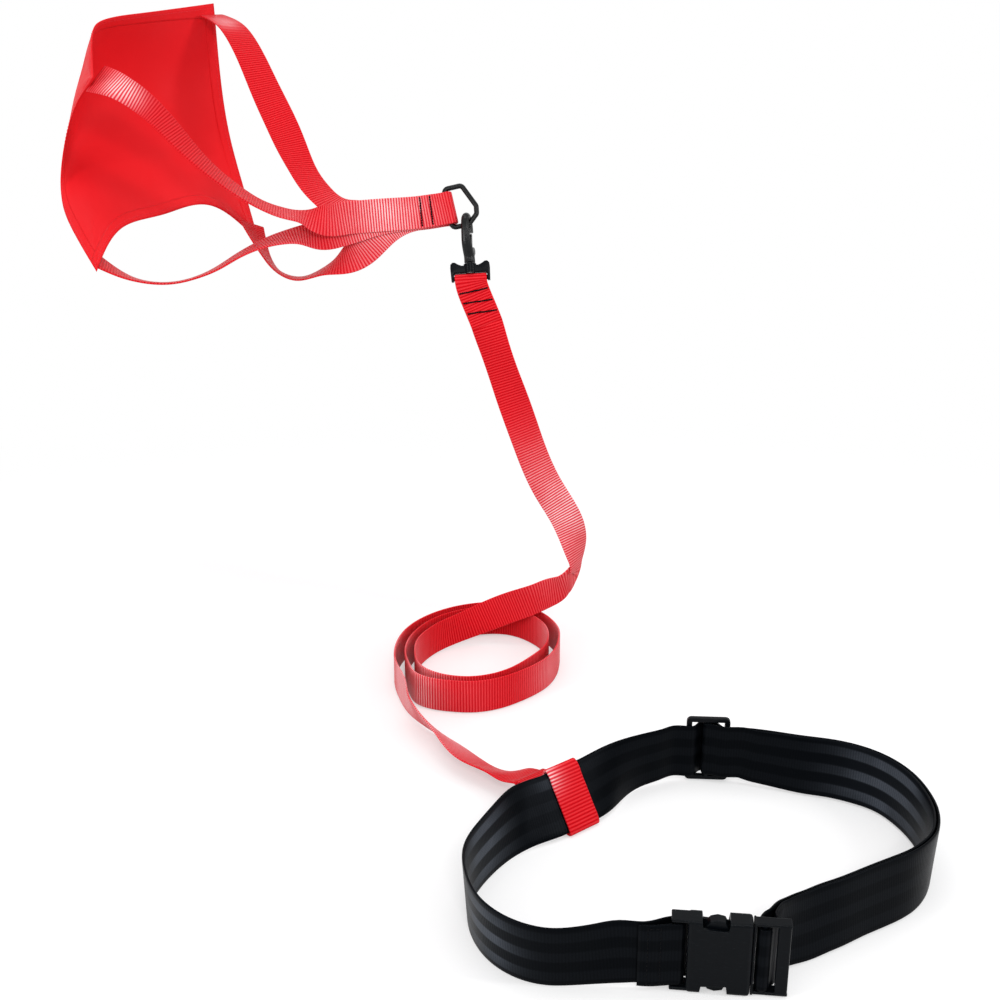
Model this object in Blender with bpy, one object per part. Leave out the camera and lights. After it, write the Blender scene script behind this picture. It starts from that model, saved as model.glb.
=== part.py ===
"""Swim parachute: a waist belt, a tether strap with a swivel snap hook, and a small square
parachute on four short straps. Sizes are in millimetres and turned into metres at the end.

X runs to the right, Y away from the viewer, Z up. The belt and the two strap loops stand
on their edge on the floor at Z = 0, and the parachute is held open above them."""

import math

import bmesh
import bpy
import numpy as np
from mathutils import Matrix, Vector

MM = 0.001

# Webbing
BELT_WIDTH = 38.0
BELT_THICK = 1.6
TETHER_WIDTH = 25.0
TETHER_THICK = 1.4
SKIN_GAP = 0.3
BELT_LAYER = BELT_THICK + 0.7

# Side release buckle
BUCKLE_CENTRE = (157.0, -310.4, 22.4)
BUCKLE_ANGLE = -7.0
BUCKLE_LEAN = 5.0
BUCKLE_HEIGHT = 44.0
BUCKLE_THICK = 10.4
SOCKET_START = -29.8
SOCKET_END = 10.4
PLUG_FLANGE = 11.9
PLUG_END = 29.2
BAR_RADIUS = 2.0
SOCKET_BAR = -26.4
PLUG_BAR = 16.3
RAIL = 2.0
WALL = 1.5
WINDOW = (-15.0, -0.5)
ARM_HINGE = (5.4, 14.0)
FOLD_RADIUS = BAR_RADIUS + SKIN_GAP + BELT_THICK / 2

# Slider
SLIDER_CENTRE = (177.0, -91.0, 23.25)
SLIDER_ANGLE = -4.0
SLIDER_LEAN = 5.0
SLIDER_LENGTH = 28.0
SLIDER_HEIGHT = 46.0
SLIDER_THICK = 3.5
SLIDER_RAIL = 3.5
SLIDER_BAR = 1.6

# Upright axes that the slider and the red loop follow the belt round
SLIDER_AXIS = (172.0, -224.0, 23.0)
TETHER_AXIS = (146.0, -213.0, 23.0)

# Snap hook, ring and eye
WIRE_RADIUS = 2.0
RING_CENTRE = (1.5, 191.5, 343.5)
RING_BAR = (0.224, -0.288, -0.931)
RING_DEPTH = (0.975, 0.067, 0.213)
RING_HALF = 15.5
RING_SIDE = 7.0
RING_ARC = 14.5
EYE_CENTRE = (18.7, 178.0, 299.6)
SHANK = (-0.068, 0.295, 0.953)
HOOK_TURN = 12.0
CROOK_LEVEL = 32.8
CROOK_RADIUS = 7.8
RING_REST = 34.5
EYE_BAR_DROP = 8.0
EYE_BAR_RADIUS = 1.9
EYE_WIDTH = 30.0

# Parachute cloth
CLOTH_THICK = 1.2
HEM_WIDTH = 12.0
HEM_THICK = 1.0
PANEL_SIDE = 203.0
CUP_DEPTH = 13.0
CORNER_INSET = 12.0

# Route of the belt round the waist, clockwise from above, from the socket to the plug:
# x, y at mid height, lean of the top edge outwards in degrees, height of the lower edge
BELT_ROUTE = (
    (103.0, -307.1, 3, 2.4),
    (92.0, -307.2, 5, 1.3),
    (79.0, -308.0, 8, 0.4),
    (67.0, -308.0, 9, 0.1),
    (54.0, -304.0, 8, 0.1),
    (42.0, -295.0, 7, 0.1),
    (33.0, -283.0, 6, 0.1),
    (25.0, -260.0, 4, 0.1),
    (24.0, -234.0, 5, 0.1),
    (34.0, -205.0, 7, 0.1),
    (46.0, -183.0, 15, 0.6),
    (58.0, -167.5, 28, 1.6),
    (73.5, -156.5, 33, 2.3),
    (86.0, -145.5, 33, 2.3),
    (98.5, -134.5, 32, 2.3),
    (111.5, -120.5, 20, 1.4),
    (125.0, -107.5, 5, 0.9),
    (137.0, -100.3, -2, 1.6),
    (147.0, -96.3, -4, 2.7),
)
BELT_ROUTE_RIGHT = (
    (208.0, -97.8, -2, 2.8),
    (223.0, -101.6, 3, 1.5),
    (238.0, -106.0, 8, 0.7),
    (252.0, -110.3, 9, 0.7),
    (266.0, -117.5, 9, 0.7),
    (279.0, -129.0, 6, 0.7),
    (288.3, -146.0, 6, 0.7),
    (292.5, -162.0, 5, 0.7),
    (294.0, -178.0, 4, 0.7),
    (293.3, -193.0, 4, 0.7),
    (290.0, -208.0, 4, 0.7),
    (284.5, -221.5, 3, 0.7),
    (277.0, -232.5, 0, 0.7),
    (267.5, -242.0, -3, 0.7),
    (259.0, -248.0, -5, 0.7),
    (250.0, -253.5, -6, 0.7),
    (235.0, -262.7, -6, 0.7),
    (220.0, -272.0, -8, 0.7),
    (212.0, -276.4, -9, 0.7),
    (203.5, -281.2, -9, 0.3),
    (196.0, -285.6, -7, 0.7),
    (189.8, -289.6, -4, 1.2),
    (184.6, -293.8, -1, 2.1),
    (181.2, -298.0, 2, 2.9),
)

# The two loops of the tether: angle from the loops' centre, radius, height of the middle
LOOPS_CENTRE = (25.0, 80.0)
LOOPS_ROUTE = (
    (67, 61.5, 31.6),
    (83, 58.5, 24.0),
    (101, 55.5, 17.5),
    (123, 52.5, 13.6),
    (149, 48.0, 12.9),
    (174, 47.5, 12.9),
    (195, 49.5, 12.9),
    (213, 54.5, 12.9),
    (228, 60.0, 12.9),
    (252, 63.5, 12.9),
    (267, 62.5, 12.9),
    (288, 56.5, 12.9),
    (308, 50.5, 12.9),
    (328, 48.0, 12.9),
    (352, 51.0, 12.9),
    (368, 54.5, 12.9),
    (382, 59.0, 12.9),
    (398, 65.5, 12.9),
    (412, 71.0, 12.9),
    (434, 78.5, 12.9),
    (457, 72.5, 12.9),
    (483, 63.0, 12.9),
    (509, 56.0, 12.9),
    (534, 54.5, 12.9),
    (560, 58.0, 12.9),
    (579, 64.5, 12.9),
    (592, 71.5, 12.9),
    (602, 73.0, 12.9),
    (616, 72.0, 12.9),
    (628, 71.0, 12.9),
    (645, 66.5, 12.9),
    (661, 61.5, 12.9),
    (691, 59.0, 12.9),
    (718, 61.0, 12.9),
    (729, 63.5, 12.9),
    (742, 68.5, 12.9),
    (758, 75.0, 12.9),
    (772, 81.5, 12.9),
    (794, 88.0, 12.9),
    (817, 82.0, 12.9),
    (843, 71.5, 12.9),
    (869, 64.5, 12.9),
    (896, 62.5, 12.9),
    (920, 66.5, 12.9),
    (937, 73.0, 12.9),
    (950, 82.0, 12.7),
)

# The hanging run: x, y, z, then the direction that the width lies in
HANG_ROUTE = (
    (32.7, 163.5, 255.2, 0.96, 0.0, 0.26),
    (60.0, 157.0, 176.5, 0.90, 0.20, 0.38),
    (80.0, 155.5, 128.0, 0.90, 0.20, 0.38),
    (96.5, 156.5, 99.0, 0.93, 0.20, 0.28),
    (102.5, 157.5, 80.5, 0.81, 0.57, 0.10),
    (104.2, 158.5, 68.5, 0.57, 0.82, 0.0),
    (104.0, 159.0, 59.0, 0.36, 0.90, -0.25),
    (102.0, 158.8, 52.0, 0.30, 0.80, -0.50),
    (97.6, 151.8, 49.0, 0.31, 0.63, -0.71),
    (91.0, 146.4, 45.0, 0.30, 0.36, -0.88),
    (81.4, 141.3, 42.6, 0.26, 0.10, -0.96),
    (72.0, 135.6, 40.6, 0.22, 0.0, -0.97),
)

# From the loops to the belt, lying down on the floor
FLOOR_ROUTE = (
    (-18.3, -12.3, 12.6, 0.34, 0.15, -0.93),
    (-6.7, -32.5, 10.9, 0.54, 0.29, -0.79),
    (4.3, -48.2, 9.6, 0.66, 0.41, -0.63),
    (23.2, -78.9, 8.0, 0.73, 0.55, -0.41),
    (43.1, -97.7, 9.0, 0.68, 0.67, -0.31),
)
LOOP_POINT = (86.0, -145.5)
LOOP_LEAN = 33.0

# The four straps of the parachute: x, y, z and width direction, from the stack outwards
STACK_ROUTE = (
    (1.5, 191.5, 343.5),
    (-20.0, 184.0, 341.0),
    (-51.0, 179.0, 339.0),
    (-77.0, 176.0, 337.0),
)
# Stops of each strap in the stack: distance from the bar, slide upwards, spread outwards
LOWER_NEAR_STOPS = (
    (72.0, -5.5, 0.3),
    (60.0, -2.8, 0.2),
    (48.0, -1.2, 0.1),
    (36.0, -0.3, 0.0),
    (26.0, 0.0, 0.0),
)
LOWER_FAR_STOPS = (
    (14.0, 0.0, 0.0),
    (24.0, -0.3, 0.0),
    (36.0, -2.2, 0.1),
    (48.0, -7.5, 0.2),
    (58.0, -15.0, 0.6),
    (67.0, -22.5, 1.6),
)
UPPER_NEAR_STOPS = (
    (79.0, 0.0, 0.9),
    (70.0, 0.0, 0.7),
    (60.0, 0.0, 0.5),
    (50.0, 0.0, 0.3),
    (38.0, 0.0, 0.1),
    (26.0, 0.0, 0.0),
)
UPPER_FAR_STOPS = (
    (14.0, 0.0, 0.0),
    (26.0, 0.0, 0.1),
    (38.0, 0.0, 0.3),
    (50.0, 0.3, 0.8),
    (61.0, 1.6, 1.3),
    (70.0, 3.6, 1.6),
    (79.0, 6.2, 2.0),
)
STACK_STOPS = ((LOWER_NEAR_STOPS, LOWER_FAR_STOPS), (UPPER_NEAR_STOPS, UPPER_FAR_STOPS))
STRAP_TOP_FAR = (
    (-88.0, 184.4, 351.0, 0.38, 0.18, 0.90),
    (-99.5, 193.5, 357.5, 0.62, 0.42, 0.66),
    (-113.0, 211.0, 371.5, 0.80, 0.45, 0.40),
    (-130.5, 236.0, 401.9, 0.86, 0.35, 0.36),
    (-147.5, 258.0, 432.4, 0.84, 0.45, 0.25),
    (-169.0, 283.0, 471.0, 0.73, 0.66, 0.14),
    (-181.5, 296.0, 484.0, 0.72, 0.69, 0.05),
)
STRAP_TOP_NEAR = (
    (-87.5, 172.8, 336.8, 0.0, 0.20, 0.98),
    (-97.0, 172.6, 337.3, 0.0, 0.60, 0.80),
    (-107.1, 173.0, 338.7, 0.0, 0.92, 0.38),
    (-123.8, 170.0, 342.3, 0.08, 0.98, 0.16),
    (-140.5, 167.0, 349.0, 0.15, 0.98, 0.05),
    (-158.4, 164.0, 360.6, 0.20, 0.98, 0.02),
    (-178.3, 161.0, 377.2, 0.25, 0.96, 0.05),
    (-198.6, 158.5, 399.1, 0.31, 0.91, 0.22),
    (-218.1, 156.0, 420.6, 0.33, 0.84, 0.40),
    (-235.4, 151.0, 434.0, 0.26, 0.74, 0.60),
)
STRAP_LOW_NEAR = (
    (-84.0, 177.0, 327.8, 0.0, 0.10, 0.99),
    (-96.5, 176.0, 325.0, 0.0, 0.50, 0.86),
    (-110.7, 173.0, 325.1, -0.02, 0.86, 0.50),
    (-126.3, 168.5, 323.2, -0.08, 0.95, 0.27),
    (-141.4, 163.0, 318.9, -0.13, 0.98, 0.14),
    (-158.8, 157.0, 310.9, -0.17, 0.98, 0.04),
    (-172.0, 150.0, 303.2, -0.19, 0.98, -0.02),
    (-191.2, 140.0, 296.0, -0.08, 0.99, -0.10),
    (-213.1, 127.0, 294.7, -0.10, 0.98, -0.10),
    (-231.0, 121.5, 299.0, -0.06, 0.97, 0.16),
)
STRAP_LOW_FAR = (
    (-95.8, 185.5, 297.1, -0.17, 0.97, 0.15),
    (-114.6, 193.0, 290.0, 0.00, 1.00, 0.03),
    (-130.5, 203.0, 291.4, 0.11, 0.99, -0.07),
    (-143.4, 216.0, 298.7, 0.18, 0.97, -0.15),
)

# Edges of the cloth, corner to corner
CLOTH_TOP = (
    (-254, 145, 441),
    (-260, 170, 460),
    (-264, 192, 475),
    (-258, 208, 483),
    (-243, 238, 488),
    (-222, 280, 494),
    (-198, 320, 499),
)
CLOTH_BOTTOM = ((-250, 99, 307), (-241, 144, 334), (-219, 187, 340), (-190, 230, 342), (-156, 241, 312))
CLOTH_NEAR = ((-250, 99, 307), (-278, 143, 332), (-297, 185, 366), (-285, 182, 409), (-254, 145, 441))
CLOTH_FAR = ((-156, 241, 312), (-172, 275, 352), (-186, 298, 395), (-195, 316, 448), (-198, 320, 499))

# Colours
RED = (0.62, 0.03, 0.035)
RED_CLOTH = (0.70, 0.04, 0.045)
BLACK_WEB = (0.012, 0.013, 0.015)
BLACK_PLASTIC = (0.02, 0.022, 0.026)
BLACK_METAL = (0.015, 0.015, 0.017)


def unit(vector):
    vector = np.asarray(vector, float)
    return vector / np.linalg.norm(vector)


def surface(name, colour, roughness, metallic=0.0):
    """A material of its own for one piece."""
    material = bpy.data.materials.new(name)
    material.use_nodes = True
    shader = material.node_tree.nodes["Principled BSDF"]
    shader.inputs["Base Color"].default_value = (*colour, 1.0)
    shader.inputs["Roughness"].default_value = roughness
    shader.inputs["Metallic"].default_value = metallic
    return material


def add_object(name, bm, material, frame=None, smooth=False):
    """Turns a mesh in millimetres, in its own frame, into a placed object in metres."""
    bmesh.ops.recalc_face_normals(bm, faces=bm.faces[:])
    if bm.calc_volume(signed=True) < 0:
        bmesh.ops.reverse_faces(bm, faces=bm.faces[:])
    mesh = bpy.data.meshes.new(name)
    bm.transform(Matrix.Scale(MM, 4))
    bm.to_mesh(mesh)
    bm.free()
    if smooth:
        for polygon in mesh.polygons:
            polygon.use_smooth = True
        mesh.set_sharp_from_angle(angle=math.radians(40))
    if material:
        mesh.materials.append(material)
    piece = bpy.data.objects.new(name, mesh)
    bpy.context.scene.collection.objects.link(piece)
    if frame is not None:
        placed = frame.copy()
        placed.translation = frame.translation * MM
        piece.matrix_world = placed
    return piece


def shape_with(piece, tool, operation):
    """Joins a helper to a piece, or cuts it out of it."""
    tool.hide_render = True
    tool.display_type = "WIRE"
    modifier = piece.modifiers.new(tool.name, "BOOLEAN")
    modifier.operation = operation
    modifier.solver = "EXACT"
    modifier.object = tool


def frame_at(origin, x_axis, z_axis):
    """A frame from its origin, its X direction and the rough direction of its Z."""
    x = unit(x_axis)
    z = np.asarray(z_axis, float)
    z = unit(z - x * float(np.dot(z, x)))
    y = np.cross(z, x)
    columns = (x, y, z)
    return Matrix(
        [[*(float(column[row]) for column in columns), float(origin[row])] for row in range(3)]
        + [[0.0, 0.0, 0.0, 1.0]]
    )


def box(low, high, round_by=0.0):
    """A block between two corners, its edges rounded."""
    bm = bmesh.new()
    bmesh.ops.create_cube(bm, size=1.0)
    size = [high[k] - low[k] for k in range(3)]
    middle = [(high[k] + low[k]) / 2 for k in range(3)]
    bmesh.ops.scale(bm, vec=size, verts=bm.verts[:])
    bmesh.ops.translate(bm, vec=middle, verts=bm.verts[:])
    if round_by:
        bmesh.ops.bevel(bm, geom=bm.edges[:], offset=round_by, segments=2, profile=0.5, affect="EDGES")
    return bm


def rod(start, end, radius, sides=16):
    """A round bar between two points."""
    bm = bmesh.new()
    start = Vector(start)
    end = Vector(end)
    along = end - start
    bmesh.ops.create_cone(
        bm, cap_ends=True, segments=sides, radius1=radius, radius2=radius, depth=along.length
    )
    turn = along.to_track_quat("Z", "Y").to_matrix().to_4x4()
    bm.transform(Matrix.Translation((start + end) / 2) @ turn)
    return bm


def plate(outline, low, high, round_by=0.0):
    """An outline in X and Z, extruded along Y from low to high."""
    bm = bmesh.new()
    face = bm.faces.new([bm.verts.new((x, low, z)) for x, z in outline])
    grown = bmesh.ops.extrude_face_region(bm, geom=[face])
    moved = [part for part in grown["geom"] if isinstance(part, bmesh.types.BMVert)]
    bmesh.ops.translate(bm, vec=(0.0, high - low, 0.0), verts=moved)
    if round_by:
        edges = [
            edge for edge in bm.edges if abs(edge.verts[0].co.y - edge.verts[1].co.y) < 1e-6
        ]
        bmesh.ops.bevel(bm, geom=edges, offset=round_by, segments=2, profile=0.5, affect="EDGES")
    return bm


def smooth_curve(rows, step):
    """Natural cubic spline through the rows (any number of columns), read off every step."""
    rows = np.asarray(rows, float)
    count = len(rows)
    chords = np.linalg.norm(np.diff(rows[:, :3], axis=0), axis=1)
    knots = np.concatenate([[0.0], np.cumsum(chords)])
    matrix = np.zeros((count, count))
    right = np.zeros_like(rows)
    matrix[0, 0] = 1.0
    matrix[-1, -1] = 1.0
    for k in range(1, count - 1):
        before = chords[k - 1]
        after = chords[k]
        matrix[k, k - 1 : k + 2] = (before, 2 * (before + after), after)
        right[k] = 6 * ((rows[k + 1] - rows[k]) / after - (rows[k] - rows[k - 1]) / before)
    bend = np.linalg.solve(matrix, right)
    places = np.linspace(0.0, knots[-1], max(2, int(knots[-1] / step) + 1))
    found = []
    for place in places:
        k = min(int(np.searchsorted(knots, place, side="right")) - 1, count - 2)
        span = chords[k]
        low = (knots[k + 1] - place) / span
        high = (place - knots[k]) / span
        value = low * rows[k] + high * rows[k + 1]
        value = value + ((low**3 - low) * bend[k] + (high**3 - high) * bend[k + 1]) * span**2 / 6
        found.append(value)
    return np.array(found)


def stations(rows, longest, turn):
    """Places along a route, closer together where it bends: position, direction, width, normal."""
    dense = smooth_curve(rows, 0.4)
    points = dense[:, :3]
    along = np.gradient(points, axis=0)
    along /= np.linalg.norm(along, axis=1)[:, None]
    across = dense[:, 3:6]
    across = across - along * np.sum(across * along, axis=1)[:, None]
    across /= np.linalg.norm(across, axis=1)[:, None]
    kept = [0]
    for k in range(1, len(points) - 1):
        last = kept[-1]
        length = np.linalg.norm(points[k] - points[last])
        bent = math.degrees(math.acos(min(1.0, float(np.dot(along[k], along[last])))))
        twisted = math.degrees(math.acos(min(1.0, float(np.dot(across[k], across[last])))))
        if length >= longest or max(bent, twisted) >= turn:
            kept.append(k)
    if np.linalg.norm(points[-1] - points[kept[-1]]) < 1.0:
        kept.pop()
    kept.append(len(points) - 1)
    normals = np.cross(along, across)
    return points[kept], along[kept], across[kept], normals[kept]


def webbing(name, rows, width, thick, material, origin=(0, 0, 0), longest=8.0, turn=13.0):
    """A strap with pinched edges that follows a route."""
    points, _, across, normals = stations(rows, longest, turn)
    flat = width / 2 - thick / 2
    section = (
        (-width / 2, 0.0),
        (-flat, thick / 2),
        (flat, thick / 2),
        (width / 2, 0.0),
        (flat, -thick / 2),
        (-flat, -thick / 2),
    )
    bm = bmesh.new()
    rings = []
    start = np.asarray(origin, float)
    for point, side, out in zip(points, across, normals):
        rings.append([bm.verts.new(point - start + side * a + out * b) for a, b in section])
    sides = len(section)
    for one, two in zip(rings, rings[1:]):
        for k in range(sides):
            after = (k + 1) % sides
            bm.faces.new((one[k], one[after], two[after], two[k]))
    bm.faces.new(rings[0][::-1])
    bm.faces.new(rings[-1])
    return add_object(name, bm, material, Matrix.Translation(Vector(origin)), smooth=True)


def route_length(rows):
    points = smooth_curve(rows, 0.4)[:, :3]
    return float(np.sum(np.linalg.norm(np.diff(points, axis=0), axis=1)))


def least_gap(rows, width, thick, apart):
    """Least clear distance between parts of one strap that lie further apart along it."""
    points, _, across, _ = stations(rows, 3.0, 10.0)
    reach = np.concatenate([[0.0], np.cumsum(np.linalg.norm(np.diff(points, axis=0), axis=1))])
    shares = np.linspace(-0.5, 0.5, 9)
    cloud = points[:, None, :] + across[:, None, :] * (shares[None, :, None] * width)
    flat = cloud.reshape(-1, 3)
    where = np.repeat(reach, len(shares))
    least = 1e9
    for k in range(0, len(flat), 3):
        away = np.abs(where - where[k]) > apart
        least = min(least, float(np.min(np.linalg.norm(flat[away] - flat[k], axis=1))))
    return least - thick


def tube(rings, closed=False):
    """A body through rings of points."""
    bm = bmesh.new()
    made = [[bm.verts.new(point) for point in ring] for ring in rings]
    pairs = list(zip(made, made[1:]))
    if closed:
        pairs.append((made[-1], made[0]))
    for one, two in pairs:
        for k in range(len(one)):
            after = (k + 1) % len(one)
            bm.faces.new((one[k], one[after], two[after], two[k]))
    if not closed:
        bm.faces.new(made[0][::-1])
        bm.faces.new(made[-1])
    return bm


# Pivots

def pivot(name, frame):
    """An empty on a joint's axis, which carries the pieces that turn about it."""
    holder = bpy.data.objects.new(name, None)
    bpy.context.scene.collection.objects.link(holder)
    placed = frame.copy()
    placed.translation = frame.translation * MM
    holder.matrix_world = placed
    return holder


def carried_by(holder, names):
    """Hangs pieces on a pivot and leaves them where they are."""
    for name in names:
        piece = bpy.data.objects[name]
        piece.parent = holder
        piece.matrix_parent_inverse = holder.matrix_world.inverted()


# Frames

def turned_frame(centre, angle, lean):
    """X along the piece, Y across it, Z up, the top leaning towards local -Y."""
    turn = Matrix.Rotation(math.radians(angle), 4, "Z") @ Matrix.Rotation(math.radians(lean), 4, "X")
    return Matrix.Translation(Vector(centre)) @ turn


def belt_rows(frame, places, middle):
    """Rows of a belt route in the frame of the buckle or the slider, at the given height or their own."""
    rows = []
    for u, v, *own in places:
        height = own[0] if own else middle
        rows.append((*(frame @ Vector((u, v, height))), *frame.col[2][:3]))
    return rows


def waist_rows(route, offset):
    """Rows of the belt round the waist, moved outwards by offset along its face."""
    flat = np.array([(x, y, 0.0) for x, y, _, _ in route])
    along = np.gradient(flat, axis=0)
    rows = []
    for (x, y, lean, lift), way in zip(route, along):
        way = unit(way)
        outward = np.array((-way[1], way[0], 0.0))
        lean = math.radians(lean)
        across = outward * math.sin(lean) + np.array((0.0, 0.0, math.cos(lean)))
        face = outward * math.cos(lean) - np.array((0.0, 0.0, math.sin(lean)))
        middle = np.array((x, y, lift + math.cos(lean) * BELT_WIDTH / 2)) + face * offset
        rows.append((*middle, *across))
    return rows


def moved_rows(rows, offset, first, last):
    """The same route from row first to row last, moved sideways out of the face of the strap."""
    dense = smooth_curve(rows, 0.4)
    along = np.gradient(dense[:, :3], axis=0)
    ends = []
    for row in (rows[first], rows[last]):
        away = np.linalg.norm(dense[:, :3] - np.asarray(row[:3]), axis=1)
        ends.append(int(np.argmin(away)))
    count = max(2, int((ends[1] - ends[0]) / 8))
    moved = []
    for k in np.linspace(ends[0], ends[1], count).astype(int):
        face = unit(np.cross(dense[k, 3:6], along[k]))
        moved.append((*(dense[k, :3] + face * offset), *dense[k, 3:6]))
    return moved


def circle_rows(centre, radius, start, end, count):
    """Pairs on an arc, from start to end in degrees."""
    angles = np.radians(np.linspace(start, end, count))
    return [(centre[0] + radius * math.cos(a), centre[1] + radius * math.sin(a)) for a in angles]


def build_belt(frame, slider_frame):
    """The webbing of the belt: long strap, second layer and the turn in the plug."""
    middle = -0.5
    slider_middle = -0.9
    tail = [(-46.0, -5.6), (-39.0, -5.3), (-33.0, -4.1)]
    fold = circle_rows((SOCKET_BAR, 0.0), FOLD_RADIUS, -100, 100, 7)
    back = [(-32.5, 1.6), (-38.0, -1.2), (-43.0, -2.9), (-47.0, -3.2)]
    dip = [(0.0, 4.7), (2.5, 4.45), (5.0, 3.2), (6.4, 1.4), (7.6, -0.6), (8.9, -2.2), (10.4, -3.0)]
    through = [(-u, v) for u, v in reversed(dip[1:])] + dip
    through = [(-22.0, -3.0), (-14.0, -3.05)] + through + [(14.0, -3.05), (22.0, -3.0)]
    strap = belt_rows(frame, tail + fold + back, middle)
    strap += waist_rows(BELT_ROUTE, 0.0)
    strap += belt_rows(slider_frame, through, slider_middle)
    strap += waist_rows(BELT_ROUTE_RIGHT, 0.0)
    black = surface("belt webbing", BLACK_WEB, 0.75)
    webbing("belt_strap", strap, BELT_WIDTH, BELT_THICK, black, longest=5.0, turn=5.0)

    end = [(1.5, 2.7), (0.0, 2.7)]
    wrap = circle_rows((0.0, 0.0), SLIDER_BAR + SKIN_GAP + BELT_THICK / 2, 125, 265, 5)
    leave = [(3.0, -3.0), (6.0, -4.3), (9.0, -5.2), (13.0, -5.5), (22.0, -5.45)]
    second = belt_rows(slider_frame, end + wrap + leave, slider_middle + 1.6)
    together = len(BELT_ROUTE_RIGHT)
    second += moved_rows(strap, -BELT_LAYER, len(strap) - together, -1)
    webbing(
        "belt_adjuster_strap",
        second,
        BELT_WIDTH,
        BELT_THICK,
        surface("adjuster webbing", BLACK_WEB, 0.75),
        longest=5.0,
        turn=5.0,
    )

    turn = [(21.3, 11.9, -1.6), (20.6, 7.8, -1.0), (20.1, 4.2)]
    turn += circle_rows((PLUG_BAR, 0.0), FOLD_RADIUS + 0.05, 0, -180, 9)
    turn += [(13.2, 2.4), (14.3, 6.4), (16.2, 10.6, -1.2), (18.4, 14.0, -1.8)]
    webbing(
        "belt_plug_turn",
        belt_rows(frame, turn, middle),
        BELT_WIDTH,
        BELT_THICK,
        surface("plug webbing", BLACK_WEB, 0.75),
        BUCKLE_CENTRE,
        longest=4.0,
    )
    print("belt strap length", round(route_length(strap)))
    print("adjuster strap length", round(route_length(second)))


def build_buckle(frame):
    """Socket, plug and the two springing arms. The socket faces the viewer at local -Y."""
    half = BUCKLE_HEIGHT / 2
    deep = BUCKLE_THICK / 2
    socket = add_object(
        "buckle_socket",
        box((-21.5, -deep, -half), (SOCKET_END, deep, half), 1.6),
        surface("socket plastic", BLACK_PLASTIC, 0.45),
        frame,
    )
    for k, side in enumerate((-1, 1)):
        low, high = sorted((side * (half - 0.15), side * (half - RAIL)))
        rail = box((SOCKET_START, -4.2, low), (-18.6, 4.2, high), 0.6)
        shape_with(socket, add_object(f"socket_rail_{k}", rail, None, frame), "UNION")
    lip = box((-23.2, 3.3, -half + 3.0), (-20.8, deep - 0.1, half - 3.0))
    shape_with(socket, add_object("socket_lip", lip, None, frame), "UNION")
    bar = rod((SOCKET_BAR, 0, -half + 1.0), (SOCKET_BAR, 0, half - 1.0), BAR_RADIUS)
    shape_with(socket, add_object("socket_bar", bar, None, frame, smooth=True), "UNION")
    cavity = box((-19.4, -deep + WALL, -half + RAIL + 0.4), (SOCKET_END + 3, deep - WALL, half - RAIL - 0.4))
    shape_with(socket, add_object("socket_cavity", cavity, None, frame), "DIFFERENCE")
    for k, side in enumerate((-1, 1)):
        window = [
            (WINDOW[0], side * (half + 2)),
            (WINDOW[0] + 1.0, side * (half - 4.4)),
            (WINDOW[1] - 1.0, side * (half - 5.2)),
            (WINDOW[1], side * (half + 2)),
        ]
        tool = add_object(f"socket_window_{k}", plate(window, -deep - 2, deep + 2), None, frame)
        shape_with(socket, tool, "DIFFERENCE")

    plug = add_object(
        "buckle_plug",
        box((SOCKET_END + SKIN_GAP, -3.4, -half), (PLUG_FLANGE, 3.4, half), 0.4),
        surface("plug plastic", BLACK_PLASTIC, 0.45),
        frame,
    )
    for k, side in enumerate((-1, 1)):
        low, high = sorted((side * (half - 0.15), side * (half - RAIL)))
        rail = box((SOCKET_END + SKIN_GAP + 0.2, -3.1, low), (PLUG_END, 3.1, high), 0.6)
        shape_with(plug, add_object(f"plug_rail_{k}", rail, None, frame), "UNION")
    bar = rod((PLUG_BAR, 0, -half + 1.0), (PLUG_BAR, 0, half - 1.0), BAR_RADIUS)
    shape_with(plug, add_object("plug_bar", bar, None, frame, smooth=True), "UNION")
    end_bar = box((22.6, -3.3, -half + 0.5), (PLUG_END - 0.2, 0.6, half - 0.5), 0.9)
    shape_with(plug, add_object("plug_end_bar", end_bar, None, frame), "UNION")
    neck = box((7.6, -1.6, -16.8), (SOCKET_END + 0.9, 1.6, 16.8), 0.4)
    shape_with(plug, add_object("plug_neck", neck, None, frame), "UNION")
    tongue = box((-13.0, -1.75, -4.5), (8.6, 1.75, 4.5), 0.6)
    shape_with(plug, add_object("plug_tongue", tongue, None, frame), "UNION")

    reach_x, reach_z = ARM_HINGE
    for name, side in (("latch_arm_upper", 1), ("latch_arm_lower", -1)):
        outline = [
            (1.6, -1.6),
            (1.6, 1.6),
            (-6.5, 2.6),
            (-8.6, 6.8),
            (-12.5, 7.7),
            (-16.0, 6.6),
            (-19.2, 2.6),
            (-18.6, 0.8),
            (-14.5, 1.2),
            (-7.0, 0.0),
        ]
        if side < 0:
            outline = [(x, -z) for x, z in reversed(outline)]
        arm_frame = frame @ Matrix.Translation((reach_x, 0.0, side * reach_z))
        colour = surface(name.replace("_", " "), BLACK_PLASTIC, 0.45)
        add_object(name, plate(outline, -3.0, 3.0, 0.5), colour, arm_frame)


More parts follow.
